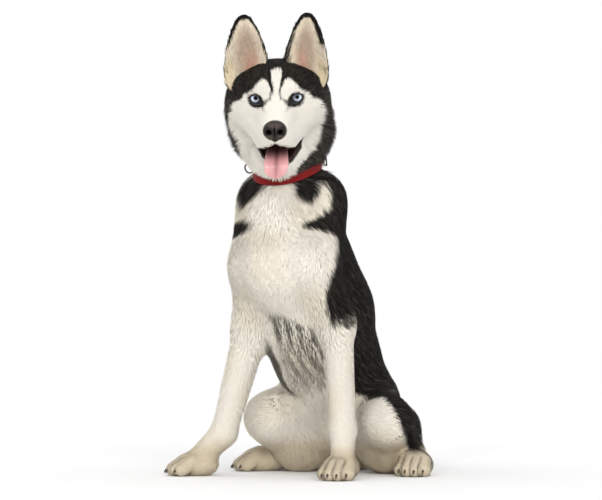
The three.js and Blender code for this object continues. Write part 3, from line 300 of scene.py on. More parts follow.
def mouth(h):
    """Distance to the open mouth, in the head's frame."""
    x, y, z = h.T
    cleft = 3.0 * np.exp(-((x / 4.0) ** 2))
    lobes = 1.2 * np.exp(-(((np.abs(x) - 13.0) / 7.0) ** 2))
    upper = table(UPPER_LIP, y) + cleft - lobes
    under = table(UNDER_LIP, y) + 2.5 * rise(-x, 8.0) * rise(y + 50.0, 10.0)
    wedge = [z - upper, 0.8 * (under - z), y - MOUTH_CORNER[1], np.abs(x) - MOUTH_CORNER[0]]
    hollow = np.maximum(np.minimum(*(at(h) for _, at in MOUTH_HOLLOWS)), y - 6.0)
    return blend_min(np.maximum.reduce(wedge), hollow, 3.0)


def coat_outline(p):
    """Distance to the tips of the coat, with the mouth still closed."""
    value = joined(TRUNK + NECK + FORELEGS + HINDLEGS + TAIL, p)
    value = blend_min(value, joined(HEAD + FLEWS, in_head(p).astype(np.float32)), 25.0)
    for at, turn in PAWS.values():
        value = blend_min(value, joined(PAW, turned(p, at, turn).astype(np.float32)), 10.0)
    return value


def gradient(field, p, h=0.4):
    steps = np.eye(3, dtype=np.float32) * h
    return np.stack([(field(p + s) - field(p - s)) / (2.0 * h) for s in steps], 1)


def unit(v):
    return v / (np.linalg.norm(v, axis=-1, keepdims=True) + 1e-9)


def settled(field, p, height=0.0, most=6.0, steps=2):
    """Moves points onto a level of the field, none further than `most` in a step."""
    for _ in range(steps):
        g = gradient(field, p)
        move = (field(p) - height) / (np.einsum("ij,ij->i", g, g) + 1e-3)
        p = p - g * np.clip(move, -most, most)[:, None]
    return p


NOSE_AT = np.array([0.0, -89.0, -29.0])
NOSE_PAD = [
    ball((0, 0, 2), (16, 13, 11.5), 3),
    limb((0, -6, -2), (0, -4, -13), 9, 5, 8),
    *mirrored(lambda s: ball((10 * s, -4, -2), (7.5, 9, 8.5), 5)),
]

# ---- eyes' openings ------------------------------------------------------------------------------
LID_WIDTH, LID_UP, LID_DOWN, LID_TILT = 9.0, 6.4, 6.2, math.radians(11.0)


def almond(h, side):
    """Rough distance outside one eye's opening, seen from ahead of the head."""
    x = (h[:, 0] * side) - EYE_AT[0]
    z = h[:, 2] - EYE_AT[2]
    along = x * math.cos(LID_TILT) + z * math.sin(LID_TILT)
    across = z * math.cos(LID_TILT) - x * math.sin(LID_TILT)
    share = np.clip(1.0 - (along / LID_WIDTH) ** 2, 0.0, 1.0) ** 0.6
    limit = np.where(across > 0.0, LID_UP, LID_DOWN) * share
    beyond = np.maximum(np.abs(along) - LID_WIDTH, 0.0)
    over = np.abs(across) - limit
    return np.hypot(np.maximum(over, 0.0), beyond) + np.minimum(over, 0.0) * (beyond == 0)


def lids_distance(h):
    """Rough distance outside the nearer eye's opening."""
    return np.minimum(almond(h, 1.0), almond(h, -1.0))


def eyes_distance(h):
    return [np.linalg.norm(h - EYE_AT * (side, 1.0, 1.0), axis=1) for side in (1.0, -1.0)]


# ---- coat map: how the coat lies, how long it is and how far it stands ---------------------------
# Each guide: place, way the coat lies, length, depth, and the piece of coat that it belongs to.
HEAD_GUIDES = [
    ((0, -84, -14), (0, 1, 0.25), 3.0, 0.7, "face"),
    ((0, -64, -8), (0, 1, 0.3), 4.0, 0.9, "face"),
    ((0, -38, 2), (0, 1, 0.3), 5.0, 1.2, "face"),
    ((0, -16, 20), (0, 0.7, 1), 6.5, 1.6, "face"),
    ((0, 6, 44), (0, 1, 0.7), 9.0, 2.6, "face"),
    ((0, 45, 55), (0, 1, 0.05), 13.0, 4.5, "crown"),
    ((0, 96, 40), (0, 0.7, -0.7), 18.0, 6.0, "crown"),
    ((0, 118, 0), (0, 0.2, -1), 22.0, 7.0, "crown"),
    ((22, -60, -34), (0.25, 1, -0.15), 3.6, 0.9, "face"),
    ((24, -40, -26), (0.3, 1, 0.05), 4.2, 1.0, "face"),
    ((18, -76, -50), (0.45, 0.8, -0.45), 3.0, 0.7, "face"),
    ((28, -48, -52), (0.3, 1, -0.5), 3.8, 0.9, "face"),
    ((36, -20, -34), (0.35, 1, -0.3), 5.5, 1.4, "face"),
    ((24, -16, -8), (0.3, 1, -0.4), 4.0, 1.0, "face"),
    ((40, -6, -14), (0.5, 0.9, -0.5), 5.0, 1.2, "face"),
    ((20, -14, 20), (0.35, 0.5, 0.9), 5.0, 1.4, "face"),
    ((36, -4, 18), (0.55, 0.6, 0.7), 5.0, 1.4, "face"),
    ((26, 12, 40), (0.3, 0.9, 0.6), 9.0, 2.6, "face"),
    ((50, 4, 8), (0.6, 0.8, 0.1), 7.0, 2.0, "face"),
    ((52, 20, 26), (0.7, 0.5, 0.6), 9.0, 3.0, "crown"),
    ((46, 2, -22), (0.5, 0.9, -0.5), 7.5, 2.0, "face"),
    ((50, 12, -52), (0.45, 0.8, -0.7), 10.0, 3.0, "face"),
    ((62, 22, -30), (0.5, 0.8, -0.6), 12.0, 4.0, "cheeks"),
    ((68, 40, 8), (0.5, 0.8, -0.3), 12.0, 4.5, "crown"),
    ((80, 52, -50), (0.45, 0.6, -0.8), 22.0, 7.5, "cheeks"),
    ((68, 40, -84), (0.35, 0.6, -0.9), 22.0, 7.0, "cheeks"),
    ((72, 84, -40), (0.2, 0.7, -0.9), 24.0, 7.5, "cheeks"),
    ((46, 20, -84), (0.35, 0.7, -0.8), 14.0, 4.0, "cheeks"),
    ((34, -14, -84), (0.35, 0.9, -0.5), 8.0, 2.0, "face"),
    ((0, -56, -110), (0, 0.5, -1), 7.0, 1.8, "face"),
    ((16, -54, -98), (0.3, 0.8, -0.6), 5.0, 1.2, "face"),
    ((0, -30, -122), (0, 0.9, -0.6), 10.0, 3.0, "cheeks"),
    ((0, 10, -118), (0, 0.6, -0.9), 18.0, 5.5, "cheeks"),
]
# The trunk's guides serve both sides, and the limbs' guides only their own.
TRUNK_GUIDES = [
    ((0, -26, 440), (0, -0.15, -1), 26.0, 8.0, "neck"),
    ((66, 20, 440), (0.3, 0, -1), 27.0, 8.0, "neck"),
    ((74, 100, 450), (0.3, 0.4, -1), 28.0, 8.0, "neck"),
    ((0, 142, 470), (0, 0.6, -0.9), 28.0, 8.0, "neck"),
    ((0, -44, 350), (0, 0, -1), 27.0, 8.0, "breast"),
    ((50, -20, 330), (-0.2, 0.1, -1), 24.0, 7.5, "breast"),
    ((80, 40, 372), (0.35, 0.4, -0.9), 22.0, 7.0, "chest"),
    ((92, 60, 310), (0.1, 0.5, -0.9), 19.0, 6.0, "chest"),
    ((0, -8, 262), (0, 0.3, -1), 20.0, 6.0, "breast"),
    ((96, 130, 280), (0, 0.7, -0.8), 22.0, 6.5, "back"),
    ((0, 172, 400), (0, 0.6, -0.8), 24.0, 7.0, "back"),
    ((0, 232, 310), (0, 0.65, -0.8), 24.0, 7.0, "back"),
    ((0, 300, 230), (0, 0.65, -0.8), 24.0, 7.0, "back"),
    ((88, 220, 190), (0, 0.7, -0.8), 22.0, 6.5, "back"),
    ((0, 372, 140), (0, 0.5, -0.9), 25.0, 7.5, "back"),
    ((62, 360, 80), (0.3, 0.4, -0.9), 26.0, 7.5, "back"),
    ((0, 44, 220), (0, 0.4, -1), 20.0, 5.5, "belly"),
    ((0, 100, 160), (0, 0.5, -1), 20.0, 5.5, "belly"),
    ((40, 150, 120), (0.3, 0.5, -0.9), 18.0, 5.0, "belly"),
    ((0, 180, 40), (0, 0.5, -0.6), 14.0, 4.0, "belly"),
]
LIMB_GUIDES = [
    ((78, 34, 246), (0.25, 0.5, -0.9), 14.0, 4.0, "foreleg_left"),
    ((100, 96, 230), (0.4, 0.8, -0.6), 16.0, 5.0, "foreleg_left"),
    ((86, 40, 150), (0.7, 0.4, -0.6), 9.0, 2.6, "foreleg_left"),
    ((86, 92, 150), (0.4, 0.7, -0.7), 12.0, 3.6, "foreleg_left"),
    ((92, 62, 80), (0.5, 0.3, -0.9), 7.0, 2.0, "foreleg_left"),
    ((-70, 34, 246), (-0.25, 0.4, -0.9), 14.0, 4.0, "foreleg_right"),
    ((-92, 96, 230), (-0.4, 0.8, -0.6), 16.0, 5.0, "foreleg_right"),
    ((-94, 44, 150), (-0.4, 0.4, -0.8), 9.0, 2.6, "foreleg_right"),
    ((-94, 92, 150), (-0.4, 0.7, -0.7), 12.0, 3.6, "foreleg_right"),
    ((-114, 66, 70), (-0.5, 0.2, -0.9), 7.0, 2.0, "foreleg_right"),
    ((120, 130, 86), (0.9, 0.4, -0.3), 11.0, 3.2, "hindleg_left"),
    ((150, 180, 90), (0.5, 0.8, -0.5), 14.0, 4.5, "hindleg_left"),
    ((110, 200, 140), (0.5, 0.7, -0.6), 18.0, 5.5, "hindleg_left"),
    ((128, 250, 70), (0.3, 0.8, -0.6), 18.0, 5.5, "hindleg_left"),
    ((80, 120, 40), (0.9, 0.2, -0.4), 11.0, 3.0, "hindleg_left"),
    ((130, 240, 20), (0.3, -0.6, -0.6), 8.0, 2.2, "hindleg_left"),
    ((110, 320, 40), (0.3, 0.5, -0.8), 22.0, 6.5, "hindleg_left"),
    ((-78, 120, 90), (-0.9, 0.4, -0.3), 11.0, 3.2, "hindleg_right"),
    ((-112, 180, 90), (-0.5, 0.8, -0.5), 14.0, 4.5, "hindleg_right"),
    ((-90, 210, 140), (-0.5, 0.7, -0.6), 18.0, 5.5, "hindleg_right"),
    ((-98, 250, 70), (-0.3, 0.8, -0.6), 18.0, 5.5, "hindleg_right"),
    ((-60, 130, 34), (-0.8, 0.4, -0.4), 11.0, 3.0, "hindleg_right"),
    ((-96, 240, 20), (-0.5, -0.5, -0.5), 8.0, 2.2, "hindleg_right"),
    ((-90, 320, 40), (-0.3, 0.5, -0.8), 22.0, 6.5, "hindleg_right"),
    ((0, 388, 84), (0, 1, -0.3), 34.0, 10.0, "tail"),
    ((-8, 430, 70), (-0.5, 0.9, 0), 42.0, 13.0, "tail"),
    ((-44, 470, 70), (-0.8, 0.6, 0), 44.0, 14.0, "tail"),
    ((-98, 506, 68), (-1, 0.25, 0), 44.0, 14.0, "tail"),
    ((-150, 510, 46), (-1, 0, 0), 40.0, 9.0, "tail"),
    ((-44, 430, 36), (-0.7, 0.7, 0), 42.0, 13.0, "tail"),
    ((-98, 470, 34), (-1, 0.2, 0), 42.0, 13.0, "tail"),
    ((-10, 490, 36), (-0.6, 0.8, 0), 42.0, 13.0, "tail"),
    ((-98, 544, 34), (-1, 0.3, 0), 42.0, 13.0, "tail"),
]
PAW_GUIDES = [
    ((0, -10, 38), (0, -1, -0.3), 5.0, 1.3),
    ((0, -42, 18), (0, -0.7, -0.8), 4.0, 0.9),
    ((24, -8, 18), (0.3, -0.8, -0.5), 4.5, 1.1),
    ((-24, -8, 18), (-0.3, -0.8, -0.5), 4.5, 1.1),
    ((0, 34, 22), (0, -0.2, -1), 7.0, 1.6),
]


def both_sides(place):
    """What turns a place into itself and, away from the middle, into its mirror image."""
    return [np.array([side, 1.0, 1.0]) for side in ((1.0, -1.0) if place[0] else (1.0,))]


def gathered_guides():
    """Every guide in the dog's frame: places, ways, (length, depth) and piece names."""
    places, ways, sizes, names = [], [], [], []

    def add(place, way, length, depth, name):
        places.append(place)
        ways.append(unit(np.array(way, dtype=float)))
        sizes.append((length, depth))
        names.append(name)

    for place, way, *rest in HEAD_GUIDES:
        for flip in both_sides(place):
            add(from_head(np.array(place) * flip), HEAD_TURN @ (np.array(way) * flip), *rest)
    for place, way, *rest in TRUNK_GUIDES:
        for flip in both_sides(place):
            add(np.array(place) * flip, np.array(way) * flip, *rest)
    for guide in LIMB_GUIDES:
        add(*guide)
    for paw, (at, turn) in PAWS.items():
        back = turning(turn)
        leg = ("foreleg_" if "front" in paw else "hindleg_") + paw.split("_")[1]
        for place, way, length, depth in PAW_GUIDES:
            add(back @ np.array(place) + np.array(at), back @ np.array(way), length, depth, leg)
    return np.array(places), np.array(ways), np.array(sizes), names


GUIDE_PLACES, GUIDE_WAYS, GUIDE_SIZES, GUIDE_NAMES = gathered_guides()
GUIDE_REACH = 14.0


def guide_shares(p):
    """How much each guide counts at each point."""
    squared = ((p[:, None, :] - GUIDE_PLACES[None]) ** 2).sum(2) + GUIDE_REACH**2
    shares = squared**-2.5
    return shares / shares.sum(1, keepdims=True)


def in_chunks(work, p, size=40000):
    return np.concatenate([work(part) for part in np.array_split(p, max(1, len(p) // size))])


def coat_sizes(p):
    """Length and depth of the coat at each point, deep enough round the collar to seat it."""
    sizes = in_chunks(lambda part: guide_shares(part) @ GUIDE_SIZES, p)
    seat = fall(np.abs(collar_height(p)) - 15.0, 7.0)
    return np.maximum(sizes, np.stack([14.0 * seat, 7.5 * seat], 1))


def coat_way(p):
    return in_chunks(lambda part: guide_shares(part) @ GUIDE_WAYS, p)


# The lids are a thin shell round the eyeball, and the socket stands just clear of it.
LID_RADIUS, LID_HALF_THICK, LID_RIM, LID_HALF_RIM = 12.2, 1.0, 1.3, 1.5
SOCKET_RADIUS, SOCKET_BACK, FAR_AWAY = 11.15, 2.0, 50.0


def with_openings(part, q):
    """The head's skin open at mouth, nose and eyes, with lips and lids round them."""
    part = blend_max(part, -mouth(q), 1.6)
    part = blend_min(part, joined(LIP_ROLLS, q.astype(np.float32)), 3.0)
    part = np.maximum(part, -1.5 - joined(NOSE_PAD, (q - NOSE_AT).astype(np.float32)))
    for side, away in zip((1.0, -1.0), eyes_distance(q)):
        opening = almond(q, side)
        part = blend_max(part, -np.maximum(opening, q[:, 1] - EYE_AT[1] - SOCKET_BACK), 1.2)
        shell = np.abs(away - LID_RADIUS) - LID_HALF_THICK
        lid = np.maximum(shell, np.abs(opening - LID_RIM) - LID_HALF_RIM)
        part = blend_min(part, np.where(q[:, 1] < EYE_AT[1] + SOCKET_BACK, lid, FAR_AWAY), 2.0)
        part = np.maximum(part, SOCKET_RADIUS - away)
    return part


def skin_field(p):
    """Distance to the bare skin, with mouth and eyes open."""
    h = in_head(p)
    near_face = (np.abs(h[:, 0]) < 60.0) & (h[:, 1] < 20.0) & (h[:, 2] > -130.0) & (h[:, 2] < 40.0)
    value = coat_outline(p.astype(np.float32)).astype(float)
    value = value + coat_sizes(p)[:, 1]
    if near_face.any():
        value[near_face] = with_openings(value[near_face], h[near_face])
    return value


# ---- markings and painted shade: the same on skin and coat ---------------------------------------
WHITE = np.array([0.90, 0.845, 0.745])
SNOW = np.array([0.92, 0.88, 0.80])
CREAM = np.array([0.86, 0.765, 0.585])
BLACK = np.array([0.010, 0.0085, 0.0075])
GREY = np.array([0.13, 0.115, 0.098])
TAN = np.array([0.62, 0.50, 0.33])
LIP = np.array([0.016, 0.011, 0.010])
GUMS = np.array([0.05, 0.016, 0.015])

# The cap's lower edge, as distance from the middle of the face and height above the eyes.
BROW_LINE = np.array(
    [(0, 13), (5, 13), (6.5, 17), (8, 21), (10, 25.5), (12, 29.5), (14.5, 33), (18, 35), (22, 34)]
    + [(26, 31), (31, 25.5), (36, 19), (42, 14.5), (48, 11), (51, 9), (55, 2), (62, -1), (67, -3)]
    + [(72, -9), (76, -22), (80, -60), (95, -80)]
)
# Where the black of the head's sides starts, and half the blaze's width, both by height.
LEFT_FRINGE = np.array(
    [(-130, 15), (-99, 33), (-90, 46), (-82, 57), (-68, 65), (-58, 67), (-50, 69), (-35, 74)]
    + [(-20, 77), (0, 85)]
)
RIGHT_FRINGE = np.array(
    [(-130, 50), (-107, 58), (-91, 61), (-80, 64), (-69, 67.5), (-53, 75.5), (-40, 78), (0, 90)]
)
BLAZE = np.array(
    [(8, 5.4), (14, 4.6), (20, 4.4), (28, 5.6), (33, 7.0), (40, 8.2), (45, 8.0), (47.5, 4), (49, -6)]
)
# Streaks round an eye, seen from ahead: two ends, half width, taper, edge, strength and fade.
EYE_STREAKS = (
    ((22.0, -2.0), (9.5, 8.0), 3.6, 2.6, 1.3, 1.0, 0.45),
    ((8.5, 7.0), (6.4, 18.0), 1.5, 0.0, 1.2, 0.85, 0.0),
    ((21.0, -4.5), (14.0, -11.0), 2.6, 1.5, 1.6, 0.5, 1.0),
    ((41.0, 6.0), (46.0, 12.0), 2.0, 1.0, 1.3, 0.7, 0.6),
)


def head_dark(h):
    """Share of black in the head's coat."""
    x, y, z = h.T
    m = np.abs(x - 0.8)
    cap = rise(z - table(BROW_LINE, m), 1.6)
    cap = cap * rise(np.abs(x - 1.8) - table(BLAZE, z), 1.0)
    fringe = np.where(x > 0, rise(x - table(LEFT_FRINGE, z), 2.0), rise(-x - table(RIGHT_FRINGE, z), 2.0))
    back = rise(y - 72.0 - 0.25 * (z + 60.0), 6.0) * rise(z + 118.0, 12.0)
    return np.maximum.reduce([cap, fringe * rise(z + 112.0, 3.0), back])


def eye_dark(h):
    """Black rims round the eyes and the streaks from their inner corners."""
    dark = np.zeros(len(h))
    for side in (1.0, -1.0):
        flat = np.stack([h[:, 0] * side, h[:, 2]], 1)
        away = np.linalg.norm((flat - (EYE_AT[0], EYE_AT[2] + 0.2)) / (12.6, 11.0), axis=1)
        dark = np.maximum(dark, fall(away - 1.0, 0.11))
        for a, b, half, taper, edge, strength, fade in EYE_STREAKS:
            away, t = segment(flat, a, b)
            streak = strength * fall(away - (half - taper * t), edge) * (1.0 - fade * t)
            dark = np.maximum(dark, streak)
    return dark * (h[:, 1] < 14.0)


# Edges of the saddle and the hip patch, as height above the floor and distance: towards the dog's
# left and back for SADDLE_FRONT and HIP_FRONT, and towards its back for the other two.
SADDLE_FRONT = np.array(
    [(236, 90), (250, 86), (276, 83), (296, 88), (319, 97), (347, 101), (366, 100), (373, 80)]
    + [(377, 46), (386, 54), (400, 80), (411, 91), (431, 92), (447, 88), (458, 80), (470, 66), (490, 50)]
)
SADDLE_RIGHT = np.array(
    [(110, 230), (133, 200), (180, 130), (225, 96), (268, 76), (319, 66), (384, 62), (431, 62)]
    + [(470, 50), (520, 40)]
)
SADDLE_INNER = np.array(
    [(84, 305), (115, 275), (180, 222), (250, 165), (335, 98), (403, 78), (430, 60)]
)
HIP_FRONT = np.array([(30, 224), (40, 213), (65, 204), (85, 198), (103, 190), (121, 177), (135, 160)])
SIDEWAYS = np.array([0.906, 0.423])
# Black patches of the neck and shoulders: centre and radii.
DARK_SPOTS = (
    ((-48, 16, 442), (50, 50, 30)),
    ((-78, 8, 380), (60, 62, 13)),
    ((50, 32, 438), (15, 38, 26)),
    ((64, 46, 466), (32, 50, 21)),
)


def on_limbs(limbs, p, margin, edge):
    """Share of being on some limbs rather than on the trunk."""
    p = p.astype(np.float32)
    return rise(joined(TRUNK, p) - joined(limbs, p) + margin, edge)


def saddle_dark(p, out, left, flank):
    """Share of black over the back, shoulders and flanks."""
    y, z = p[:, 1], p[:, 2]
    front_left = rise(out - table(SADDLE_FRONT, z), 4.0)
    front_right = rise(y - table(SADDLE_RIGHT, z), 6.0)
    front = left * front_left + (1.0 - left) * front_right
    behind = 98.0 + 0.5 * np.maximum(0.0, 340.0 - z)
    front = np.maximum(front, rise(y - behind, 6.0) * rise(z - 180.0, 20.0))
    low_edge = 119.0 + 0.1 * (y - 150.0) - 0.35 * np.maximum(0.0, y - 250.0)
    low_edge = low_edge + 45.0 * (1.0 - left) * rise(250.0 - y, 30.0)
    return front * rise(z - low_edge, 5.0) * flank


def belly_grey(p):
    """Share of grey in the streaked patch between the legs."""
    x, y, z = p.T
    top = rise(248.0 - 0.58 * np.maximum(0.0, x - 2.0) - z, 5.0)
    edge = x + 21.0 - 0.16 * (z - 197.0) * (z < 197.0)
    foot = 130.0 + 6.0 * np.sin(0.33 * x) + 5.0 * np.sin(0.71 * x + 1.0)
    belly = top * rise(edge, 4.0) * rise(z - foot, 12.0) * rise(y - 16.0, 8.0) * rise(66.0 - x, 6.0)
    return belly * (0.72 + 0.28 * rise(z - 190.0 + 0.8 * x, 30.0))


def body_dark(p):
    """Share of black, and share of grey, in the body's coat."""
    x, y, z = p.T
    left = rise(x, 6.0)
    out = np.stack([np.abs(x), y], 1) @ SIDEWAYS
    inner = rise(y - table(SADDLE_INNER, z), 6.0)
    flank = np.maximum(rise(np.abs(x) - np.interp(z, [250, 380], [58, 40]), 4.0), inner)
    on_foreleg = on_limbs(FORELEGS, p, 0.0, 5.0) * rise(240.0 - z + 0.3 * (y - 80.0), 12.0)
    saddle = saddle_dark(p, out, left, flank) * (1.0 - on_foreleg)
    hip = rise(out - table(HIP_FRONT, z), 4.0) * rise(z - 38.0, 6.0)
    hip = hip * rise(134.0 - z, 8.0) * rise(y - 120.0, 6.0)
    rump = rise(y - 300.0, 10.0) * rise(z - 40.0, 8.0)
    tail = rise(y - 372.0, 6.0) * rise(z - 18.0, 8.0) * rise(x + 148.0, 8.0)
    spots = [spot(p, centre, radii) for centre, radii in DARK_SPOTS]
    stripe = rise(-35.0 - x, 4.0) * rise(z - 120.0, 6.0) * rise(205.0 - z, 14.0) * rise(y - 50.0, 8.0)
    on_thigh = on_limbs(HINDLEGS, p, 4.0, 4.0)
    stripe = 0.85 * stripe * (1.0 - flank) * (1.0 - on_thigh) * (1.0 - on_foreleg)
    elbow = 0.95 * spot(p, (96, 58, 250), (26, 40, 34), 0.3) * left
    grey = np.maximum(0.92 * belly_grey(p) * (1.0 - flank), elbow)
    grey = grey * (1.0 - on_foreleg * (z < 225.0))
    return np.maximum.reduce([saddle, hip, rump, tail, stripe, *spots]), grey


TOE_GAPS = (-13.0, 0.0, 13.0)


def toe_crease_shade(p):
    """Painted shade: dark lines between the toes, one paw at a time."""
    dark = np.zeros(len(p))
    for at, turn in PAWS.values():
        x, y, z = turned(p, at, turn).T
        lines = np.abs(x[:, None] - TOE_GAPS).min(1)
        here = rise(-16.0 - y, 5.0) * rise(31.0 - z, 4.0) * (np.abs(x) < 32.0) * (y > -60.0)
        dark = np.maximum(dark, here * fall(lines - 1.2, 0.9))
    return dark


def markings_with_shade(p, jitter, on_head=None):
    """Colours at points of the dog, with painted shade in the chest's fold and between the toes; jitter in
    0 to 1 breaks them up hair by hair.
    """
    h = in_head(p)
    if on_head is None:
        on_head = rise(collar_height(p), 4.0)
    black, grey = body_dark(p)
    black = on_head * head_dark(h) + (1.0 - on_head) * black
    grey = (1.0 - on_head) * grey
    feet = rise(48.0 - p[:, 2], 14.0)
    warm = 0.4 * rise(np.sin(p[:, 0] * 0.05 + 1.3) * np.sin(p[:, 2] * 0.043) - 0.2, 0.5)
    # Painted shade: a band of warmer, darker cream in the fold across the front of the chest.
    crease_shade = 0.45 * (1.0 - on_head) * spot(p, (-8, -30, 362), (46, 40, 9), 0.5)
    colour = laid_over(np.tile(WHITE, (len(p), 1)), CREAM, np.maximum(warm, crease_shade))
    colour = laid_over(colour, SNOW, 0.9 * on_head)
    colour = laid_over(colour, TAN * 0.6 + CREAM * 0.3, feet * 0.85)
    # Painted shade between the toes, in dark grey.
    colour = laid_over(colour, GREY * 0.9, 0.75 * toe_crease_shade(p))
    locks = np.sin(0.34 * p[:, 0] + 1.5 * np.sin(0.045 * p[:, 2])) * np.sin(0.06 * p[:, 2] + 0.9)
    streaks = grey * np.clip(2.2 * jitter - 0.3 + 0.8 * locks, 0.0, 1.0)
    colour = laid_over(colour, GREY * 0.5, streaks)
    soft = on_head * rise(-h[:, 2], 20.0)
    pale = 0.5 * jitter**5 * (1.0 - soft) + 0.9 * jitter**2 * soft
    dark = BLACK + (GREY - BLACK) * pale[:, None]
    colour = laid_over(colour, dark, black)
    return laid_over(colour, BLACK * 0.8, eye_dark(h) * on_head)


# ---- meshes --------------------------------------------------------------------------------------
GRID_BLOCK = 8


def sampled(field, low, shape, cell):
    """Field values on a grid; far from the surface only their sign counts."""
    blocks = [-(-n // GRID_BLOCK) for n in shape]
    grid = np.stack(np.meshgrid(*(np.arange(n) for n in blocks), indexing="ij"), -1).reshape(-1, 3)
    rough = in_chunks(field, low + (grid + 0.5) * GRID_BLOCK * cell)
    values = rough.reshape(blocks)
    for axis in range(3):
        values = values.repeat(GRID_BLOCK, axis)
    near = grid[np.abs(rough) < 1.3 * GRID_BLOCK * cell]
    inner = np.stack(np.meshgrid(*(np.arange(GRID_BLOCK),) * 3, indexing="ij"), -1).reshape(-1, 3)
    cells = (near[:, None, :] * GRID_BLOCK + inner).reshape(-1, 3)
    values[tuple(cells.T)] = in_chunks(field, low + cells * cell)
    return values


GRID_WAYS = np.eye(3, dtype=int)


def net_points(values, cells, corners):
    """The middle of the places where the surface crosses each cell's edges."""
    total = np.zeros((len(cells), 3))
    crossings = np.zeros(len(cells))
    for a in corners:
        for step in GRID_WAYS[a == 0]:
            va = values[tuple((cells + a).T)]
            vb = values[tuple((cells + a + step).T)]
            crossed = (va < 0) != (vb < 0)
            t = np.where(crossed, va / np.where(crossed, va - vb, 1.0), 0.0)
            total += np.where(crossed[:, None], a + step * t[:, None], 0.0)
            crossings += crossed
    return cells + total / crossings[:, None]


def net_faces(inside, number):
    """Quads round each edge of the grid that the surface crosses, facing outwards."""
    quads = []
    for axis in range(3):
        step, u, v = (GRID_WAYS[(axis + n) % 3] for n in range(3))
        ends = [slice(0, n - s) for n, s in zip(inside.shape, step)]
        starts = [slice(s, n) for n, s in zip(inside.shape, step)]
        edges = np.argwhere(inside[tuple(ends)] != inside[tuple(starts)])
        along, across = edges @ u, edges @ v
        within = (along < number.shape[(axis + 1) % 3]) & (across < number.shape[(axis + 2) % 3])
        edges = edges[(along > 0) & (across > 0) & within]
        ring = np.stack([number[tuple((edges - o).T)] for o in (u + v, v, 0 * u, u)], 1)
        outward = inside[tuple(edges.T)]
        quads.append(np.where(outward[:, None], ring, ring[:, ::-1]))
    quads = np.concatenate(quads)
    return quads[(quads >= 0).all(1)]


def surface_net(field, low, high, cell):
    """Points and quads on the zero level of a field inside a box."""
    low = np.array(low, dtype=float)
    shape = np.ceil((np.array(high) - low) / cell).astype(int) + 1
    values = sampled(field, low, shape, cell)
    inside = values < 0.0
    span = [n - 1 for n in values.shape]
    corners = [np.array((i, j, k)) for i in (0, 1) for j in (0, 1) for k in (0, 1)]

    def seen_from(c):
        return inside[c[0] : c[0] + span[0], c[1] : c[1] + span[1], c[2] : c[2] + span[2]]

    count = sum(seen_from(c).astype(np.int8) for c in corners)
    cells = np.argwhere((count > 0) & (count < len(corners)))
    number = np.full(span, -1)
    number[tuple(cells.T)] = np.arange(len(cells))
    return low + net_points(values, cells, corners) * cell, net_faces(inside, number)


def new_object(name, data):
    piece = bpy.data.objects.new(name, data)
    bpy.context.scene.collection.objects.link(piece)
    return piece


def new_mesh(name, points, *faces):
    """A mesh object in the row's frame from millimetre points and arrays of quads or triangles."""
    mesh = bpy.data.meshes.new(name)
    sizes = np.concatenate([np.full(len(f), f.shape[1]) for f in faces])
    corners = np.concatenate([f.ravel() for f in faces]).astype(np.int32)
    mesh.vertices.add(len(points))
    mesh.vertices.foreach_set("co", row(points).astype(np.float32).ravel())
    mesh.loops.add(len(corners))
    mesh.loops.foreach_set("vertex_index", corners)
    mesh.polygons.add(len(sizes))
    mesh.polygons.foreach_set("loop_start", (np.cumsum(sizes) - sizes).astype(np.int32))
    mesh.update(calc_edges=True)
    mesh.shade_smooth()
    return new_object(name, mesh)


def lofted(rings, closed=False):
    """Points and faces through rings of points; the ends are capped unless it closes on itself."""
    rings = np.asarray(rings, dtype=float)
    count, around = rings.shape[:2]
    number = np.arange(count * around).reshape(count, around)
    following = np.roll(number, -1, axis=0) if closed else number[1:]
    near = number if closed else number[:-1]
    quads = np.stack([near, np.roll(near, -1, 1), np.roll(following, -1, 1), following], -1).reshape(-1, 4)
    points = rings.reshape(-1, 3)
    if closed:
        return points, quads, np.zeros((0, 3), dtype=int)
    ends = len(points) + np.arange(2)
    points = np.concatenate([points, rings[:1].mean(1), rings[-1:].mean(1)])
    first, last = number[0], number[-1]
    fans = [
        np.stack([np.roll(first, -1), first, np.full(around, ends[0])], 1),
        np.stack([last, np.roll(last, -1), np.full(around, ends[1])], 1),
    ]
    return points, quads, np.concatenate(fans)


def turned_out(piece):
    """Faces of a closed piece point outwards."""
    shape = bmesh.new()
    shape.from_mesh(piece.data)
    bmesh.ops.recalc_face_normals(shape, faces=shape.faces)
    shape.to_mesh(piece.data)
    shape.free()
    return piece


def paint(piece, colours, name="coat"):
    layer = piece.data.color_attributes.new(name, "FLOAT_COLOR", "POINT")
    values = np.column_stack([colours, np.ones(len(colours))])
    layer.data.foreach_set("color", values.astype(np.float32).ravel())


def finished(piece, material, slot, *nodes):
    """Gives a piece its material and its place on the frame."""
    piece.data.materials.clear()
    piece.data.materials.append(material)
    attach(piece, "root")
    if nodes:
        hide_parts(*nodes)


# ---- shaders -------------------------------------------------------------------------------------
class Value:
    """A socket with arithmetic."""

    def __init__(self, shader, socket):
        self.shader, self.socket = shader, socket

    def _math(self, operation, a, b):
        return self.shader.node("ShaderNodeMath", {"operation": operation}, {0: a, 1: b})

    def __add__(self, other):
        return self._math("ADD", self, other)

    def __mul__(self, other):
        return self._math("MULTIPLY", self, other)

    def __rsub__(self, other):
        return self._math("SUBTRACT", other, self)

    __radd__, __rmul__ = __add__, __mul__


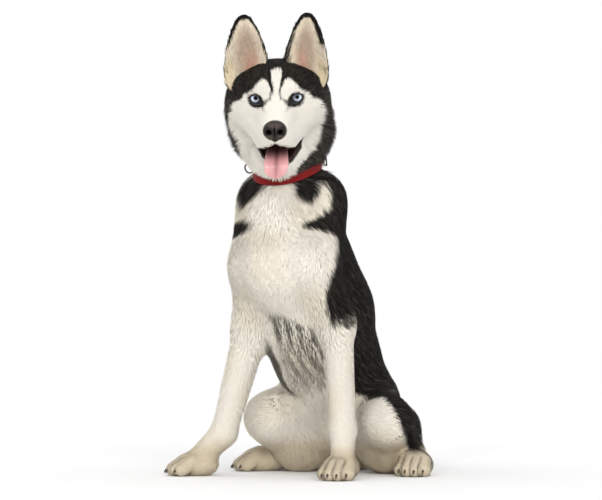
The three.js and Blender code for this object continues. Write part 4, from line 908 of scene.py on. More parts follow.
class Shader:
    """A material whose nodes are written as Python."""

    def __init__(self, name):
        self.material = bpy.data.materials.new(name)
        self.material.use_nodes = True
        self.tree = self.material.node_tree
        self.surface = self.tree.nodes["Principled BSDF"]

    def fill(self, sockets, values):
        """Links sockets to nodes, or sets them."""
        for key, value in values.items():
            if isinstance(value, Value):
                self.tree.links.new(value.socket, sockets[key])
            else:
                sockets[key].default_value = value

    def node(self, kind, settings=None, sockets=None, output=0):
        made = self.tree.nodes.new(kind)
        for key, value in (settings or {}).items():
            setattr(made, key, value)
        self.fill(made.inputs, sockets or {})
        return Value(self, made.outputs[output])

    def surface_set(self, **values):
        self.fill(self.surface.inputs, {key.replace("_", " "): value for key, value in values.items()})

    def object_place(self):
        return self.node("ShaderNodeTexCoord", output="Object")

    def noise(self, scale, detail=3.0):
        sockets = {"Vector": self.object_place(), "Scale": scale, "Detail": detail}
        return self.node("ShaderNodeTexNoise", {"noise_dimensions": "3D"}, sockets)

    def cells(self, scale):
        sockets = {"Vector": self.object_place(), "Scale": scale}
        return self.node("ShaderNodeTexVoronoi", {}, sockets)

    def attribute(self, name):
        return self.node("ShaderNodeAttribute", {"attribute_name": name}, output="Color")

    def mixed(self, factor, a, b, blend="MIX"):
        settings = {"data_type": "RGBA", "blend_type": blend}
        return self.node("ShaderNodeMix", settings, {0: factor, 6: a, 7: b}, output=2)

    def tinted(self, texture, share, colour):
        """The painted colour, multiplied by another where the texture is high."""
        return self.mixed(texture * share, self.attribute("coat"), rgb(colour), "MULTIPLY")

    def bump(self, height, strength, distance):
        sockets = {"Height": height, "Strength": strength, "Distance": distance}
        return self.node("ShaderNodeBump", {}, sockets)


def rgb(values):
    return (*(float(v) for v in values), 1.0)


def fur_material():
    shader = Shader("coat_hair")
    base = shader.tinted(shader.noise(160.0, 2.0), 0.16, (0.7, 0.62, 0.52))
    shader.surface_set(Base_Color=base, Roughness=0.75, Specular_IOR_Level=0.08)
    return shader.material


def skin_material():
    shader = Shader("under_coat")
    fine = shader.noise(900.0, 4.0)
    base = shader.tinted(fine, 0.25, (0.6, 0.54, 0.46))
    gloss = shader.node("ShaderNodeSeparateColor", {}, {"Color": shader.attribute("gloss")})
    shader.surface_set(
        Base_Color=base,
        Roughness=0.85 - gloss * 0.5,
        Specular_IOR_Level=0.25,
        Normal=shader.bump(fine, 0.4, 0.0005),
    )
    return shader.material


def wet_material(name, grain, depth, roughness, coat=0.0):
    """Bare skin that shines, coloured by its own attribute and pebbled by cells."""
    shader = Shader(name)
    cells = shader.cells(grain)
    soft = shader.noise(grain * 0.25, 2.0)
    base = shader.tinted(soft, 0.35, (0.72, 0.66, 0.64))
    shader.surface_set(
        Base_Color=base,
        Roughness=roughness + soft * 0.12,
        Coat_Weight=coat,
        Specular_IOR_Level=0.22,
        Normal=shader.bump(1.0 - cells, 0.4, depth),
    )
    return shader.material


def eye_material():
    shader = Shader("eye_wet")
    base = shader.tinted(shader.noise(1800.0, 3.0), 0.25, (0.5, 0.56, 0.66))
    shader.surface_set(Base_Color=base, Roughness=0.05, Specular_IOR_Level=0.07)
    return shader.material


def leather_material(settings):
    shader = Shader("red_leather")
    grain = shader.cells(1300.0)
    cloud = shader.noise(60.0, 4.0)
    base = shader.mixed(cloud, rgb(settings.leather_deep), rgb(settings.leather_light))
    base = shader.mixed(grain * 0.3, base, rgb((0.10, 0.004, 0.005)))
    shader.surface_set(
        Base_Color=base,
        Roughness=0.4 + cloud * 0.22,
        Specular_IOR_Level=0.1,
        Normal=shader.bump(grain + cloud * 0.5, 0.5, 0.0004),
    )
    return shader.material


def thread_material(settings):
    shader = Shader("red_thread")
    twist = shader.noise(2500.0, 2.0)
    base = shader.mixed(twist, rgb(settings.thread_deep), rgb(settings.thread_light))
    shader.surface_set(Base_Color=base, Roughness=0.7, Normal=shader.bump(twist, 0.6, 0.0002))
    return shader.material


def steel_material():
    shader = Shader("dark_steel")
    wear = shader.noise(420.0, 5.0)
    base = shader.mixed(wear, rgb((0.05, 0.047, 0.044)), rgb((0.20, 0.19, 0.17)))
    shader.surface_set(
        Base_Color=base,
        Metallic=0.9,
        Roughness=0.26 + wear * 0.2,
        Normal=shader.bump(wear, 0.2, 0.0002),
    )
    return shader.material


def claw_material():
    shader = Shader("claw_horn")
    band = shader.noise(700.0, 3.0)
    base = shader.tinted(band, 0.5, (0.30, 0.22, 0.18))
    shader.surface_set(
        Base_Color=base,
        Roughness=0.38 + band * 0.15,
        Normal=shader.bump(band, 0.3, 0.0003),
    )
    return shader.material


# ---- skin ----------------------------------------------------------------------------------------
FLESH_NODES = (
    "torso hips neck head jaw tail foreleg_left foreleg_right hindleg_left hindleg_right "
    "paw_front_left paw_front_right paw_hind_left paw_hind_right"
).split()
BODY_REACH = (-205, -70, -8), (205, 560, 500)
HEAD_REACH = (-100, -110, 420), (130, 190, 650)


def body_skin(p):
    return np.maximum.reduce([skin_field(p), collar_height(p) - 4.0, 0.6 - p[:, 2]])


def head_skin(p):
    return np.maximum(skin_field(p), -4.0 - collar_height(p))


def skin_colours(p):
    """Markings with the lips, lids and the inside of the mouth."""
    h = in_head(p)
    colours = markings_with_shade(p, np.full(len(p), 0.3)) * 0.93
    inside = mouth(h)
    ridge = joined(LIP_ROLLS, h.astype(np.float32))
    ahead = (h[:, 1] < 8.0) & (h[:, 2] > -100.0)
    in_mouth = fall(inside - 0.7, 0.5) * ahead
    lip = np.maximum(fall(inside - 3.2, 0.8), fall(ridge - 0.4, 0.4))
    lip = lip * ahead * (h[:, 1] < 3.0)
    lip = np.maximum(lip, fall(nose_space(h) - 1.0, 0.06))
    colours = laid_over(colours, LIP, lip)
    colours = laid_over(colours, GUMS * 0.55, in_mouth)
    rim = fall(lids_distance(h) - 2.6, 0.6) * (h[:, 1] < 14.0) * (h[:, 2] > -20.0)
    return laid_over(colours, LIP, rim), np.maximum.reduce([lip, in_mouth, rim])


def build_skin(settings):
    body, body_quads = surface_net(body_skin, *BODY_REACH, settings.body_cell * 1000.0)
    head, head_quads = surface_net(head_skin, *HEAD_REACH, settings.head_cell * 1000.0)
    body, head = settled(body_skin, body, most=2.0), settled(head_skin, head, most=0.8)
    points = np.concatenate([body, head])
    piece = new_mesh("skin", points, body_quads, head_quads + len(body))
    colours, gloss = skin_colours(points)
    paint(piece, colours)
    paint(piece, np.repeat(gloss[:, None], 3, 1), "gloss")
    finished(piece, skin_material(), "white_coat", *FLESH_NODES)


# ---- coat ----------------------------------------------------------------------------------------
# The most tufts that each piece of coat has.
COAT_PIECES = {
    "coat_face": 16500,
    "coat_crown": 8000,
    "coat_cheeks": 9000,
    "coat_neck": 11000,
    "coat_chest": 9000,
    "coat_breast": 9500,
    "coat_back": 17000,
    "coat_belly": 9500,
    "coat_foreleg_left": 10000,
    "coat_foreleg_right": 10000,
    "coat_hindleg_left": 10500,
    "coat_hindleg_right": 10500,
    "coat_tail": 5600,
}
# Tufts in a square millimetre, by the coat's length.
DENSITY = np.array([(3, 0.85), (5, 0.8), (9, 0.40), (14, 0.34), (20, 0.36), (27, 0.44), (44, 0.13)])


def skin_roots(skin, random):
    """Random points over the skin, as many as the coat needs."""
    mesh = skin.data
    mesh.calc_loop_triangles()
    corners = np.zeros(len(mesh.loop_triangles) * 3, dtype=np.int32)
    mesh.loop_triangles.foreach_get("vertices", corners)
    places = np.zeros(len(mesh.vertices) * 3, dtype=np.float32)
    mesh.vertices.foreach_get("co", places)
    points = places.reshape(-1, 3) * 1000.0 + MIDDLE
    a, b, c = points[corners.reshape(-1, 3)].transpose(1, 0, 2)
    area = np.linalg.norm(np.cross(b - a, c - a), axis=1) / 2.0
    length = coat_sizes((a + b + c) / 3.0)[:, 0]
    wanted = area * table(DENSITY, length)
    count = np.floor(wanted + random.random(len(wanted))).astype(int)
    picked = np.repeat(np.arange(len(count)), count)
    u, v = random.random(len(picked)), random.random(len(picked))
    over = u + v > 1.0
    u, v = np.where(over, 1.0 - u, u)[:, None], np.where(over, 1.0 - v, v)[:, None]
    return a[picked] + (b - a)[picked] * u + (c - a)[picked] * v


def nose_space(h):
    return np.linalg.norm((h - NOSE_AT - (0.0, 0.0, -1.5)) / (18.0, 15.0, 15.5), axis=1)


def bare(p):
    """True where no hair grows: in the mouth, on lips, lids, nose and soles, and under the collar."""
    h = in_head(p)
    lips = (mouth(h) < 1.8 + 1.2 * (h[:, 2] < -62.0)) | (joined(LIP_ROLLS, h.astype(np.float32)) < 0.8)
    lips = lips & (h[:, 1] < 5.0) & (h[:, 2] > -98.0)
    lids = (lids_distance(h) < 1.5) & (h[:, 1] < 14.0)
    band = np.abs(collar_height(p)) < 5.0
    return lips | lids | (nose_space(h) < 1.0) | band | (p[:, 2] < 2.5)


def in_the_way(p):
    """True where a hair would cross the open mouth, an eye or the nose."""
    h = in_head(p)
    lids = (lids_distance(h) < 0.3) & (h[:, 1] < 10.0)
    open_mouth = (mouth(h) < 0.2 + 1.4 * (h[:, 2] < -62.0)) & (h[:, 1] < 3.0) & (h[:, 2] > -98.0)
    return open_mouth | lids | (nose_space(h) < 0.94)


def spikes(stations, tip, widths):
    """Closed three-sided spikes: stations are (places, sides, ups) from root to tip."""
    count = len(tip)
    rings, normals = [], []
    for (at, side, up), width in zip(stations, widths):
        half = side * (width * 0.5)[:, None]
        rings += [at - half, at + half, at + up * (width * 0.16)[:, None]]
        normals += [unit(up - side * 0.12), unit(up + side * 0.12), up]
    points = np.stack([*rings, tip], 1)
    normals = np.stack([*normals, stations[-1][2]], 1)
    each = points.shape[1]
    start = (np.arange(count) * each)[:, None]
    quads, triangles = [], [(0, 1, 2)]
    for ring in range(len(stations) - 1):
        a, b = 3 * ring, 3 * ring + 3
        quads += [(a, b, b + 1, a + 1), (a + 1, b + 1, b + 2, a + 2), (a + 2, b + 2, b, a)]
    last = each - 4
    triangles += [(last + 1, last, last + 3), (last + 2, last + 1, last + 3), (last, last + 2, last + 3)]
    quads = np.concatenate([start + np.array(q) for q in quads])
    triangles = np.concatenate([start + np.array(t) for t in triangles])
    return points.reshape(-1, 3), quads, triangles, normals.reshape(-1, 3)


# How far each piece's tips stand out, as a share of the coat's depth; the others lie flat.
STAND = {
    "coat_cheeks": 0.9,
    "coat_crown": 0.2,
    "coat_tail": 0.3,
    "coat_hindleg_left": 0.3,
    "coat_back": 0.12,
}
SUNK, LIFT_NOISE, LEAST_ABOVE_FLOOR = 0.22, 0.035, 0.8
CHIN_CLEAR = 52.0


def swayed(roots, random):
    """How far each tuft leans aside, in clumps and one by one."""
    wander = 2.0 * np.sin(roots @ np.array([0.05, -0.07, 0.09]))
    clump = np.sin(roots @ np.array([0.21, 0.17, 0.13]) + wander)
    return 0.10 * clump + 0.11 * random.standard_normal(len(roots))


def heading(p, sway):
    """The way a tuft lies along the body at each point, and the way out of the body."""
    normal = unit(gradient(coat_outline, p))
    way = coat_way(p)
    flat = unit(way - normal * np.einsum("ij,ij->i", way, normal)[:, None])
    return unit(flat + np.cross(normal, flat) * sway[:, None]), normal


def trimmed(roots, ahead, length, random):
    """Lengths of the tufts, those over the front of the collar short enough to leave it free."""
    height = collar_height(roots)
    drop = -(ahead @ COLLAR_TURN[:, 2]) * length
    limit = 3.0 + 3.5 * random.random(len(roots))
    in_front = np.abs(in_head(roots)[:, 0]) < CHIN_CLEAR
    over_band = (height > 0.0) & (height - drop < limit) & in_front
    share = np.clip((height - limit) / np.maximum(drop, 0.1), 0.0, 1.0)
    return np.where(over_band, length * share, length)


def grown_from(roots, name, random, settings):
    """Roots, middles and tips of the tufts of one piece, and the ways their sides and tops face."""
    sizes = coat_sizes(roots)
    count = len(roots)
    length = sizes[:, 0] * (0.75 + 0.5 * random.random(count)) * settings.length
    depth = sizes[:, 1]
    out = unit(gradient(coat_outline, roots))
    sway = swayed(roots, random)
    first, _ = heading(roots, sway)
    length = trimmed(roots, first, length, random)
    middle = settled(coat_outline, roots + first * (length * 0.5)[:, None], -depth * SUNK, 5.0, 1)
    second, normal = heading(middle, sway * 1.6)
    stand = STAND.get(name, 0.0) * random.random(count)
    if name == "coat_cheeks":
        stand = stand + 0.6 * rise(in_head(roots)[:, 0] - 50.0, 10.0) * random.random(count)
    lift = depth * (LIFT_NOISE * random.standard_normal(count) + stand)
    tip = settled(coat_outline, middle + second * (length * 0.5)[:, None], lift, 6.0, 1)
    kept = (length > 0.35 * sizes[:, 0]) & ~in_the_way(middle) & ~in_the_way(tip)
    base = roots - out * 0.7 - first * 0.4
    width = (0.45 + 0.033 * sizes[:, 0]) * (0.8 + 0.4 * random.random(count)) * settings.width
    side0, side1 = unit(np.cross(first, out)), unit(np.cross(second, normal))
    for place in (base, middle, tip):
        place[:, 2] = np.maximum(place[:, 2], LEAST_ABOVE_FLOOR)
    return [v[kept] for v in (roots, base, middle, tip, side0, side1, out, normal, width)]


# What each piece's map is rolled round: the frame that it is given in and the axis's two ends.
HEAD_AXIS = ("head", (0, -110, -40), (0, 130, -40))
CHEST_AXIS = ("dog", (0, 60, 460), (0, 80, 200))
UNWRAPS = {
    "coat_face": HEAD_AXIS,
    "coat_crown": HEAD_AXIS,
    "coat_cheeks": HEAD_AXIS,
    "coat_neck": ("dog", (-4, 60, 500), (-4, 70, 380)),
    "coat_chest": CHEST_AXIS,
    "coat_breast": CHEST_AXIS,
    "coat_back": ("dog", (0, 90, 480), (0, 290, 0)),
    "coat_belly": ("dog", (0, 60, 300), (0, 200, 0)),
    "coat_foreleg_left": ("dog", (70, 70, 300), (92, 56, 0)),
    "coat_foreleg_right": ("dog", (-70, 70, 300), (-134, 60, 0)),
    "coat_hindleg_left": ("dog", (50, 270, 180), (140, 160, 0)),
    "coat_hindleg_right": ("dog", (-50, 270, 180), (-100, 160, 0)),
    "coat_tail": ("dog", (10, 360, 60), (-190, 520, 34)),
    "coat_ear_left": ("head", (48, 40, -4), (50, 52, 130)),
    "coat_ear_right": ("head", (-48, 40, -4), (-50, 52, 130)),
}
# A tuft's patch of the map: its two rings of three points and its tip.
TUFT_PATCH = [(-1, -1), (1, -1), (0, 1), (-0.8, -0.6), (0.8, -0.6), (0, 0.8), (0, 0)]
TUFT_PATCH_SIZE = 0.0015


def unwrapped(roots, name):
    """Places of roots on the skin rolled open round its own axis."""
    kind, a, b = UNWRAPS[name]
    p = in_head(roots) if kind == "head" else roots
    a, b = np.array(a, dtype=float), np.array(b, dtype=float)
    axis = unit(b - a)
    first = unit(np.cross(axis, (0.31, 0.2, 0.93) if abs(axis[2]) < 0.7 else (0.2, 0.97, 0.1)))
    second = np.cross(axis, first)
    q = p - a
    turn = np.arctan2(q @ second, q @ first) / (2.0 * math.pi) + 0.5
    run = q @ axis
    run = (run - run.min()) / max(1e-6, np.ptp(run))
    return np.clip(np.stack([turn, run], 1) * 0.99 + 0.005, 0.005, 0.995)


def wrap_uvs(piece, roots, name):
    """One small patch of the map for each tuft, at its root's place."""
    spots = unwrapped(roots, name)
    per_point = (spots[:, None, :] + (np.array(TUFT_PATCH) * TUFT_PATCH_SIZE)[None]).reshape(-1, 2)
    mesh = piece.data
    corners = np.zeros(len(mesh.loops), dtype=np.int32)
    mesh.loops.foreach_get("vertex_index", corners)
    layer = mesh.uv_layers.new(name="OFBake")
    layer.data.foreach_set("uv", per_point[corners].astype(np.float32).ravel())


# Painted shade along a tuft's seven points: darker at its root, deep in the coat.
TUFT_SHADE_TONES = [0.91, 0.91, 0.92, 0.98, 0.98, 1.0, 1.01]


def hair_piece(name, material, ends, roots, colours, slot="white_coat"):
    """One piece of coat from its stations, with each tuft in its colour."""
    base, middle, tip, side0, side1, up0, up1, width = ends
    stations = [(base, side0, up0), (middle, side1, up1)]
    points, quads, triangles, normals = spikes(stations, tip, [width, width * 0.85])
    piece = new_mesh(name, points, quads, triangles)
    piece.data.normals_split_custom_set_from_vertices(normals.astype(np.float32))
    # Painted shade: each tuft darker towards its root.
    shade_tones = np.tile(TUFT_SHADE_TONES, len(tip))[:, None]
    paint(piece, np.clip(np.repeat(colours, len(TUFT_SHADE_TONES), 0) * shade_tones, 0.0, 1.0))
    wrap_uvs(piece, roots, name)
    finished(piece, material, slot)


def build_coat(settings, skin):
    random = np.random.default_rng(settings.seed)
    roots = skin_roots(skin, random)
    roots = roots[~bare(roots)]
    nearest = in_chunks(lambda part: guide_shares(part).argmax(1), roots)
    names = np.array(GUIDE_NAMES)[nearest]
    material = fur_material()
    for piece_name, most in COAT_PIECES.items():
        own = roots[names == piece_name.removeprefix("coat_")]
        thinned = (max(len(own), most) / most) ** 0.4
        own = own[random.permutation(len(own))[:most]]
        own, *ends = grown_from(own, piece_name, random, settings)
        ends[-1] = ends[-1] * thinned
        middle, tip = ends[1], ends[2]
        seen = middle * 0.45 + tip * 0.55 + random.standard_normal(own.shape) * 0.7
        on_head = (collar_height(own) > 0.0).astype(float)
        tone = 0.955 + 0.07 * random.random(len(own))
        colours = markings_with_shade(seen, random.random(len(own)), on_head) * tone[:, None]
        hair_piece(piece_name, material, ends, own, colours)


# ---- eyes ----------------------------------------------------------------------------------------
GAZE = unit(np.array([0.04, -0.985, 0.172]))
IRIS = 7.6
PUPIL = 3.0
PALE_BLUE, DEEP_BLUE = np.array([0.82, 0.90, 1.0]), np.array([0.20, 0.30, 0.50])
PUPIL_BLACK, EYE_WHITE = np.array([0.004, 0.004, 0.005]), np.array([0.30, 0.24, 0.22])
CORNEA_RISE, CORNEA_EDGE = 0.9, math.radians(41.0)


def eye_colours(across, up):
    """Colours over an eyeball by the distance from its gaze, with painted shadow of the upper lid by the
    height above it.
    """
    # Painted shadow of the upper lid: the iris darker towards its top.
    colours = laid_over(np.tile(PALE_BLUE, (len(across), 1)), DEEP_BLUE, 0.3 * rise(up - 2.5, 4.0))
    colours = laid_over(colours, DEEP_BLUE * 0.3, rise(across - (IRIS - 0.8), 0.5))
    colours = laid_over(colours, DEEP_BLUE * 0.8, 0.5 * fall(across - (PUPIL + 0.7), 0.5))
    colours = laid_over(colours, PUPIL_BLACK, fall(across - PUPIL, 0.3))
    return laid_over(colours, EYE_WHITE, rise(across - IRIS, 0.4))


def build_eyes():
    material = eye_material()
    turns = np.concatenate([np.linspace(0.5, 46.0, 34), np.linspace(46.0, 179.5, 24)[1:]])
    around = np.linspace(0.0, 2.0 * math.pi, 48, endpoint=False)
    side = unit(np.cross(GAZE, (0.0, 0.0, 1.0)))
    up = np.cross(side, GAZE)
    for name, s in (("left", 1.0), ("right", -1.0)):
        turn = np.radians(turns)[:, None]
        dome = CORNEA_RISE * np.clip(1.0 - (turn / CORNEA_EDGE) ** 2, 0.0, 1.0)
        radius = EYE_RADIUS + dome
        across = radius * np.sin(turn)
        x, z = across * np.cos(around), across * np.sin(around)
        rings = (
            EYE_AT * (s, 1.0, 1.0)
            + (radius * np.cos(turn))[..., None] * GAZE
            + x[..., None] * side
            + z[..., None] * up
        )
        points, quads, triangles = lofted(rings)
        piece = turned_out(new_mesh("eyeball_" + name, from_head(points), quads, triangles))
        offset = points - EYE_AT * (s, 1.0, 1.0)
        along = offset @ GAZE
        away = np.where(along > 0, np.linalg.norm(offset - along[:, None] * GAZE, axis=1), 20.0)
        paint(piece, eye_colours(away, offset @ up))
        finished(piece, material, "eye", "eye_" + name)


# ---- nose and tongue -----------------------------------------------------------------------------
NOSTRILS = [
    *mirrored(lambda s: limb((7.8 * s, -18, -2.8), (9.5 * s, -2, 0.5), 3.8, 3.6, 2)),
    *mirrored(lambda s: limb((9 * s, -15, -4.6), (16.5 * s, -8, -6.4), 2.2, 1.5, 2)),
]


def nose_pad(h):
    q = (h - NOSE_AT).astype(np.float32)
    cleft = np.hypot(q[:, 0], np.maximum(0.0, q[:, 1] + 11.0)) - 0.9 + 0.05 * np.maximum(0.0, q[:, 2] + 4.0)
    value = blend_max(joined(NOSE_PAD, q), -joined(NOSTRILS, q), 1.5)
    return blend_max(value, -cleft, 1.5)


NOSE_REACH, NOSE_CELL = ((-22, -112, -54), (22, -68, -8)), 0.75
NOSE_BLACK, NOSE_HOLE_SHADE = (0.013, 0.010, 0.009), np.array([0.004, 0.003, 0.003])
NOSE_TOP_HIGHLIGHT, NOSE_WING = np.array([0.13, 0.085, 0.075]), np.array([0.085, 0.05, 0.037])


def build_nose():
    points, quads = surface_net(nose_pad, *NOSE_REACH, NOSE_CELL)
    points = settled(nose_pad, points, most=0.4)
    piece = new_mesh("nose_pad", from_head(points), quads)
    q = points - NOSE_AT
    colours = np.tile(NOSE_BLACK, (len(points), 1))
    # Painted highlight along the top of the nose.
    colours = laid_over(colours, NOSE_TOP_HIGHLIGHT, 0.5 * spot(q, (0, -10, 8), (11, 7, 3.0), 0.5))
    wings = np.maximum(*mirrored(lambda s: spot(q, (9 * s, -9, -8), (6.5, 7, 4.5), 0.5)))
    colours = laid_over(colours, NOSE_WING, 0.8 * wings)
    # Painted shade deep inside the nostrils.
    hole_shade = fall(joined(NOSTRILS, q.astype(np.float32)) - 0.5, 0.6)
    colours = laid_over(colours, NOSE_HOLE_SHADE, hole_shade)
    paint(piece, colours)
    finished(piece, wet_material("nose_leather", 950.0, 0.0003, 0.24), "nose", "nose")


TONGUE_PATH = [
    (0, -4, -67),
    (0, -26, -71),
    (-0.5, -48, -78),
    (-1, -63, -88),
    (-2, -68, -99),
    (-2.5, -67, -108),
]
TONGUE_HALF_WIDTH = [11, 15, 17, 18.5, 16, 5]
TONGUE_HALF_DEPTH = [4, 5, 5, 4, 3.2, 2]
TONGUE_ROWS, TONGUE_COLUMNS = 60, 25
TONGUE_PINK, TONGUE_EDGE = (0.66, 0.32, 0.325), np.array([0.80, 0.42, 0.42])
TONGUE_FURROW_SHADE, TONGUE_ROOT_SHADE = np.array([0.24, 0.08, 0.09]), np.array([0.16, 0.055, 0.06])


def smooth_path(points, shares):
    """Places on a smooth curve through points, at shares from 0 to 1."""
    p = np.array(points, dtype=float)
    p = np.vstack([2 * p[0] - p[1], p, 2 * p[-1] - p[-2]])
    at = np.clip(shares, 0.0, 1.0) * (len(p) - 3)
    low = np.minimum(at.astype(int), len(p) - 4)
    t = (at - low)[:, None]
    a, b, c, d = (p[low + n] for n in range(4))
    return 0.5 * (2 * b + (c - a) * t + (2 * a - 5 * b + 4 * c - d) * t**2 + (3 * b - a - 3 * c + d) * t**3)


def tongue_rings(shares, u):
    """Rings of points along the tongue, with a groove down its upper face."""
    at = smooth_path(TONGUE_PATH, shares)
    along = unit(np.gradient(at, axis=0))
    up = -unit(np.cross((1.0, 0.0, 0.0), along))
    numbers = range(len(TONGUE_PATH))
    stations = shares * (len(TONGUE_PATH) - 1)
    rounded = np.sqrt(np.minimum(1.0, (1.0 - shares) * 9.0 + 0.02))
    half = np.interp(stations, numbers, TONGUE_HALF_WIDTH) * rounded
    depth = np.interp(stations, numbers, TONGUE_HALF_DEPTH)
    face = np.concatenate([np.ones(TONGUE_COLUMNS), -np.ones(TONGUE_COLUMNS - 2)])
    groove = np.where(face > 0, 1.8 * np.exp(-((u * 5.5) ** 2)), 0.0)
    height = face * depth[:, None] * np.sqrt(1.0 - 0.97 * u * u) - groove + 1.5 * u * u
    across = (half[:, None] * u)[..., None] * (1.0, 0.0, 0.0)
    return at[:, None] + up[:, None] * height[..., None] + across


def tongue_colours(run, across):
    """Pink, paler at the edges, with painted shade in the groove and at the root, back in the mouth."""
    colours = np.tile(TONGUE_PINK, (len(run), 1))
    colours = laid_over(colours, TONGUE_EDGE, 0.6 * rise(np.abs(across) - 0.7, 0.3))
    # Painted shade in the groove down the tongue's middle.
    furrow_shade = np.exp(-((across * 6.0) ** 2)) * rise(0.86 - run, 0.2)
    colours = laid_over(colours, TONGUE_FURROW_SHADE, 0.7 * furrow_shade)
    # Painted shade at the root, back inside the mouth.
    return laid_over(colours, TONGUE_ROOT_SHADE, 0.9 * rise(0.42 - run, 0.16))


def build_tongue():
    shares = np.linspace(0.0, 1.0, TONGUE_ROWS)
    swing = np.cos(np.linspace(0.0, math.pi, TONGUE_COLUMNS))
    u = np.concatenate([-swing, swing[1:-1]])
    points, quads, triangles = lofted(tongue_rings(shares, u))
    piece = turned_out(new_mesh("tongue_flesh", from_head(points), quads, triangles))
    run = np.append(np.repeat(shares, len(u)), [0.0, 1.0])
    across = np.append(np.tile(u, len(shares)), [0.0, 0.0])
    paint(piece, tongue_colours(run, across))
    finished(piece, wet_material("tongue_wet", 1500.0, 0.0003, 0.3, 0.3), "tongue", "tongue")


# ---- ears ----------------------------------------------------------------------------------------
EAR_FOOT, EAR_TIP, EAR_WIDEST, EAR_HALF_WIDTH = 5.0, 124.0, 57.0, 31.0
EAR_CREAM = np.array([0.84, 0.73, 0.57])
EAR_SHADE = np.array([0.36, 0.25, 0.185])
EAR_PINK = np.array([0.50, 0.22, 0.16])
EAR_RED = np.array([0.30, 0.085, 0.05])
EAR_STRAW = np.array([0.84, 0.69, 0.42])
EAR_TUFTS = ((-1.0, 3900), (1.0, 2700))


def ear_at(side, z, u, way):
    """Points on the front (way -1) or back (way 1) of an ear.

    z runs up the ear, and u across it from -1 inside to 1 outside.
    """
    foot = np.maximum(0.0, (EAR_WIDEST - z) / (EAR_WIDEST - EAR_FOOT))
    taper = np.sqrt(np.maximum(0.0, EAR_TIP - z) / (EAR_TIP - EAR_WIDEST))
    taper = 0.5 * (1.0 + taper - np.sqrt((1.0 - taper) ** 2 + 0.006))
    half = np.maximum(1.0, EAR_HALF_WIDTH * taper * 1.03 - 5.0 * foot**2 - 12.0 * foot**4)
    up = (z - EAR_WIDEST) / (EAR_TIP - EAR_WIDEST)
    up = 0.5 * (up + np.sqrt(up**2 + 0.05))
    middle = 45.0 + ((50.0 if side > 0 else 47.5) - 45.0) * up + 5.0 * foot
    cup = 21.0 * np.maximum(0.2, 1.0 - 0.75 * up) * half / EAR_HALF_WIDTH
    lean = 30.0 + 16.0 * (z - EAR_FOOT) / (EAR_TIP - EAR_FOOT)
    thick = (2.6 - 0.9 * up) * (1.0 - 0.35 * u * u)
    bend = -2.0 * cup * u / half
    size = np.hypot(1.0, bend)
    x = middle + half * u - way * thick * bend / size + np.sign(u) * np.abs(u) ** 12
    y = lean + cup * (1.0 - u * u) - 3.0 * u + way * thick / size
    return np.stack([side * x, y, z], -1)


def ear_dark(z, u):
    """Share of black on the front of an ear, with painted shade in the fold near its outer edge."""
    below = EAR_TIP - z
    half = EAR_HALF_WIDTH * np.minimum(1.0, np.sqrt(np.maximum(1.0, below) / (EAR_TIP - EAR_WIDEST)))
    outer = np.interp(below, [0, 10, 26, 44, 56], [9, 4.6, 3.4, 1.8, -2])
    inner = np.interp(below, [0, 10, 26, 100], [9, 3.6, 1.4, 1.0])
    rim = np.maximum(rise(outer - (1.0 - u) * half, 1.2), rise(inner - (1.0 + u) * half, 1.2))
    # Painted shade: a short dark dash in the fold at the ear's outer edge.
    fold_shade = 0.8 * fall(np.hypot((u - 0.93) / 0.10, (z - 40.0) / 1.6) - 1.0, 0.4)
    return np.maximum.reduce([rim, fold_shade, rise(8.0 - below, 2.0)])


def ear_front(z, u):
    """Colours of the front of an ear."""
    colours = np.tile(EAR_CREAM, (z.size, 1))
    shade = fall(np.hypot((u + 0.05) / 0.62, (z - 62.0) / 44.0) - 1.0, 0.5)
    colours = laid_over(colours, EAR_SHADE, 0.78 * shade)
    canal = fall(np.hypot((u + 0.25) / 0.30, (z - 34.0) / 26.0) - 1.0, 0.9)
    colours = laid_over(colours, EAR_PINK, 0.6 * canal)
    spot_red = fall(np.hypot((u + 0.30) / 0.16, (z - 24.0) / 12.0) - 1.0, 0.4)
    colours = laid_over(colours, EAR_RED, 0.75 * spot_red)
    colours = laid_over(colours, EAR_STRAW, 0.6 * rise(u - 0.6, 0.2) * rise(52.0 - z, 8.0))
    return laid_over(colours, BLACK, ear_dark(z, u))


def ear_skin(name, side, material):
    shares = np.linspace(0.0, 1.0, 46)
    z = EAR_TIP - (EAR_TIP - EAR_FOOT) * (1.0 - shares) ** 2
    u = np.linspace(-1.0, 1.0, 27)
    rows, columns = np.meshgrid(z, u, indexing="ij")
    front = ear_at(side, rows, columns, -1.0)
    back = ear_at(side, rows, columns, 1.0)[:, ::-1]
    points, quads, triangles = lofted(np.concatenate([front, back], 1))
    piece = turned_out(new_mesh("ear_leather_" + name, from_head(points), quads, triangles))
    colours = np.tile(BLACK, (len(z), 2 * len(u), 1))
    painted = ear_front(rows.ravel(), columns.ravel()) * 0.8
    colours[:, : len(u)] = painted.reshape(len(z), len(u), 3)
    colours = np.concatenate([colours.reshape(-1, 3), [EAR_SHADE, BLACK]])
    paint(piece, colours)
    paint(piece, np.zeros((len(points), 3)), "gloss")
    finished(piece, material, "dark_coat", "ear_" + name)


def ear_lie(side, way, below, u, random):
    """Length of an ear's tufts, how they lean aside and how far they stand out."""
    if way < 0:
        length = np.interp(below, [0, 20, 60, 110], [4.0, 7.0, 13.0, 17.0])
        length = length * (0.7 + 0.5 * random.random(len(u)))
        lean = -0.55 * u * side * np.interp(below, [0, 30, 119], [0.2, 0.6, 1.0])
        stand = 0.10 + 0.14 * np.abs(u) ** 3
    else:
        length = np.interp(below, [0, 40, 119], [5.0, 9.0, 13.0])
        length = length * (0.8 + 0.4 * random.random(len(u)))
        lean = np.zeros(len(u))
        stand = np.full(len(u), 0.06)
    return length, lean + 0.16 * random.standard_normal(len(u)), stand


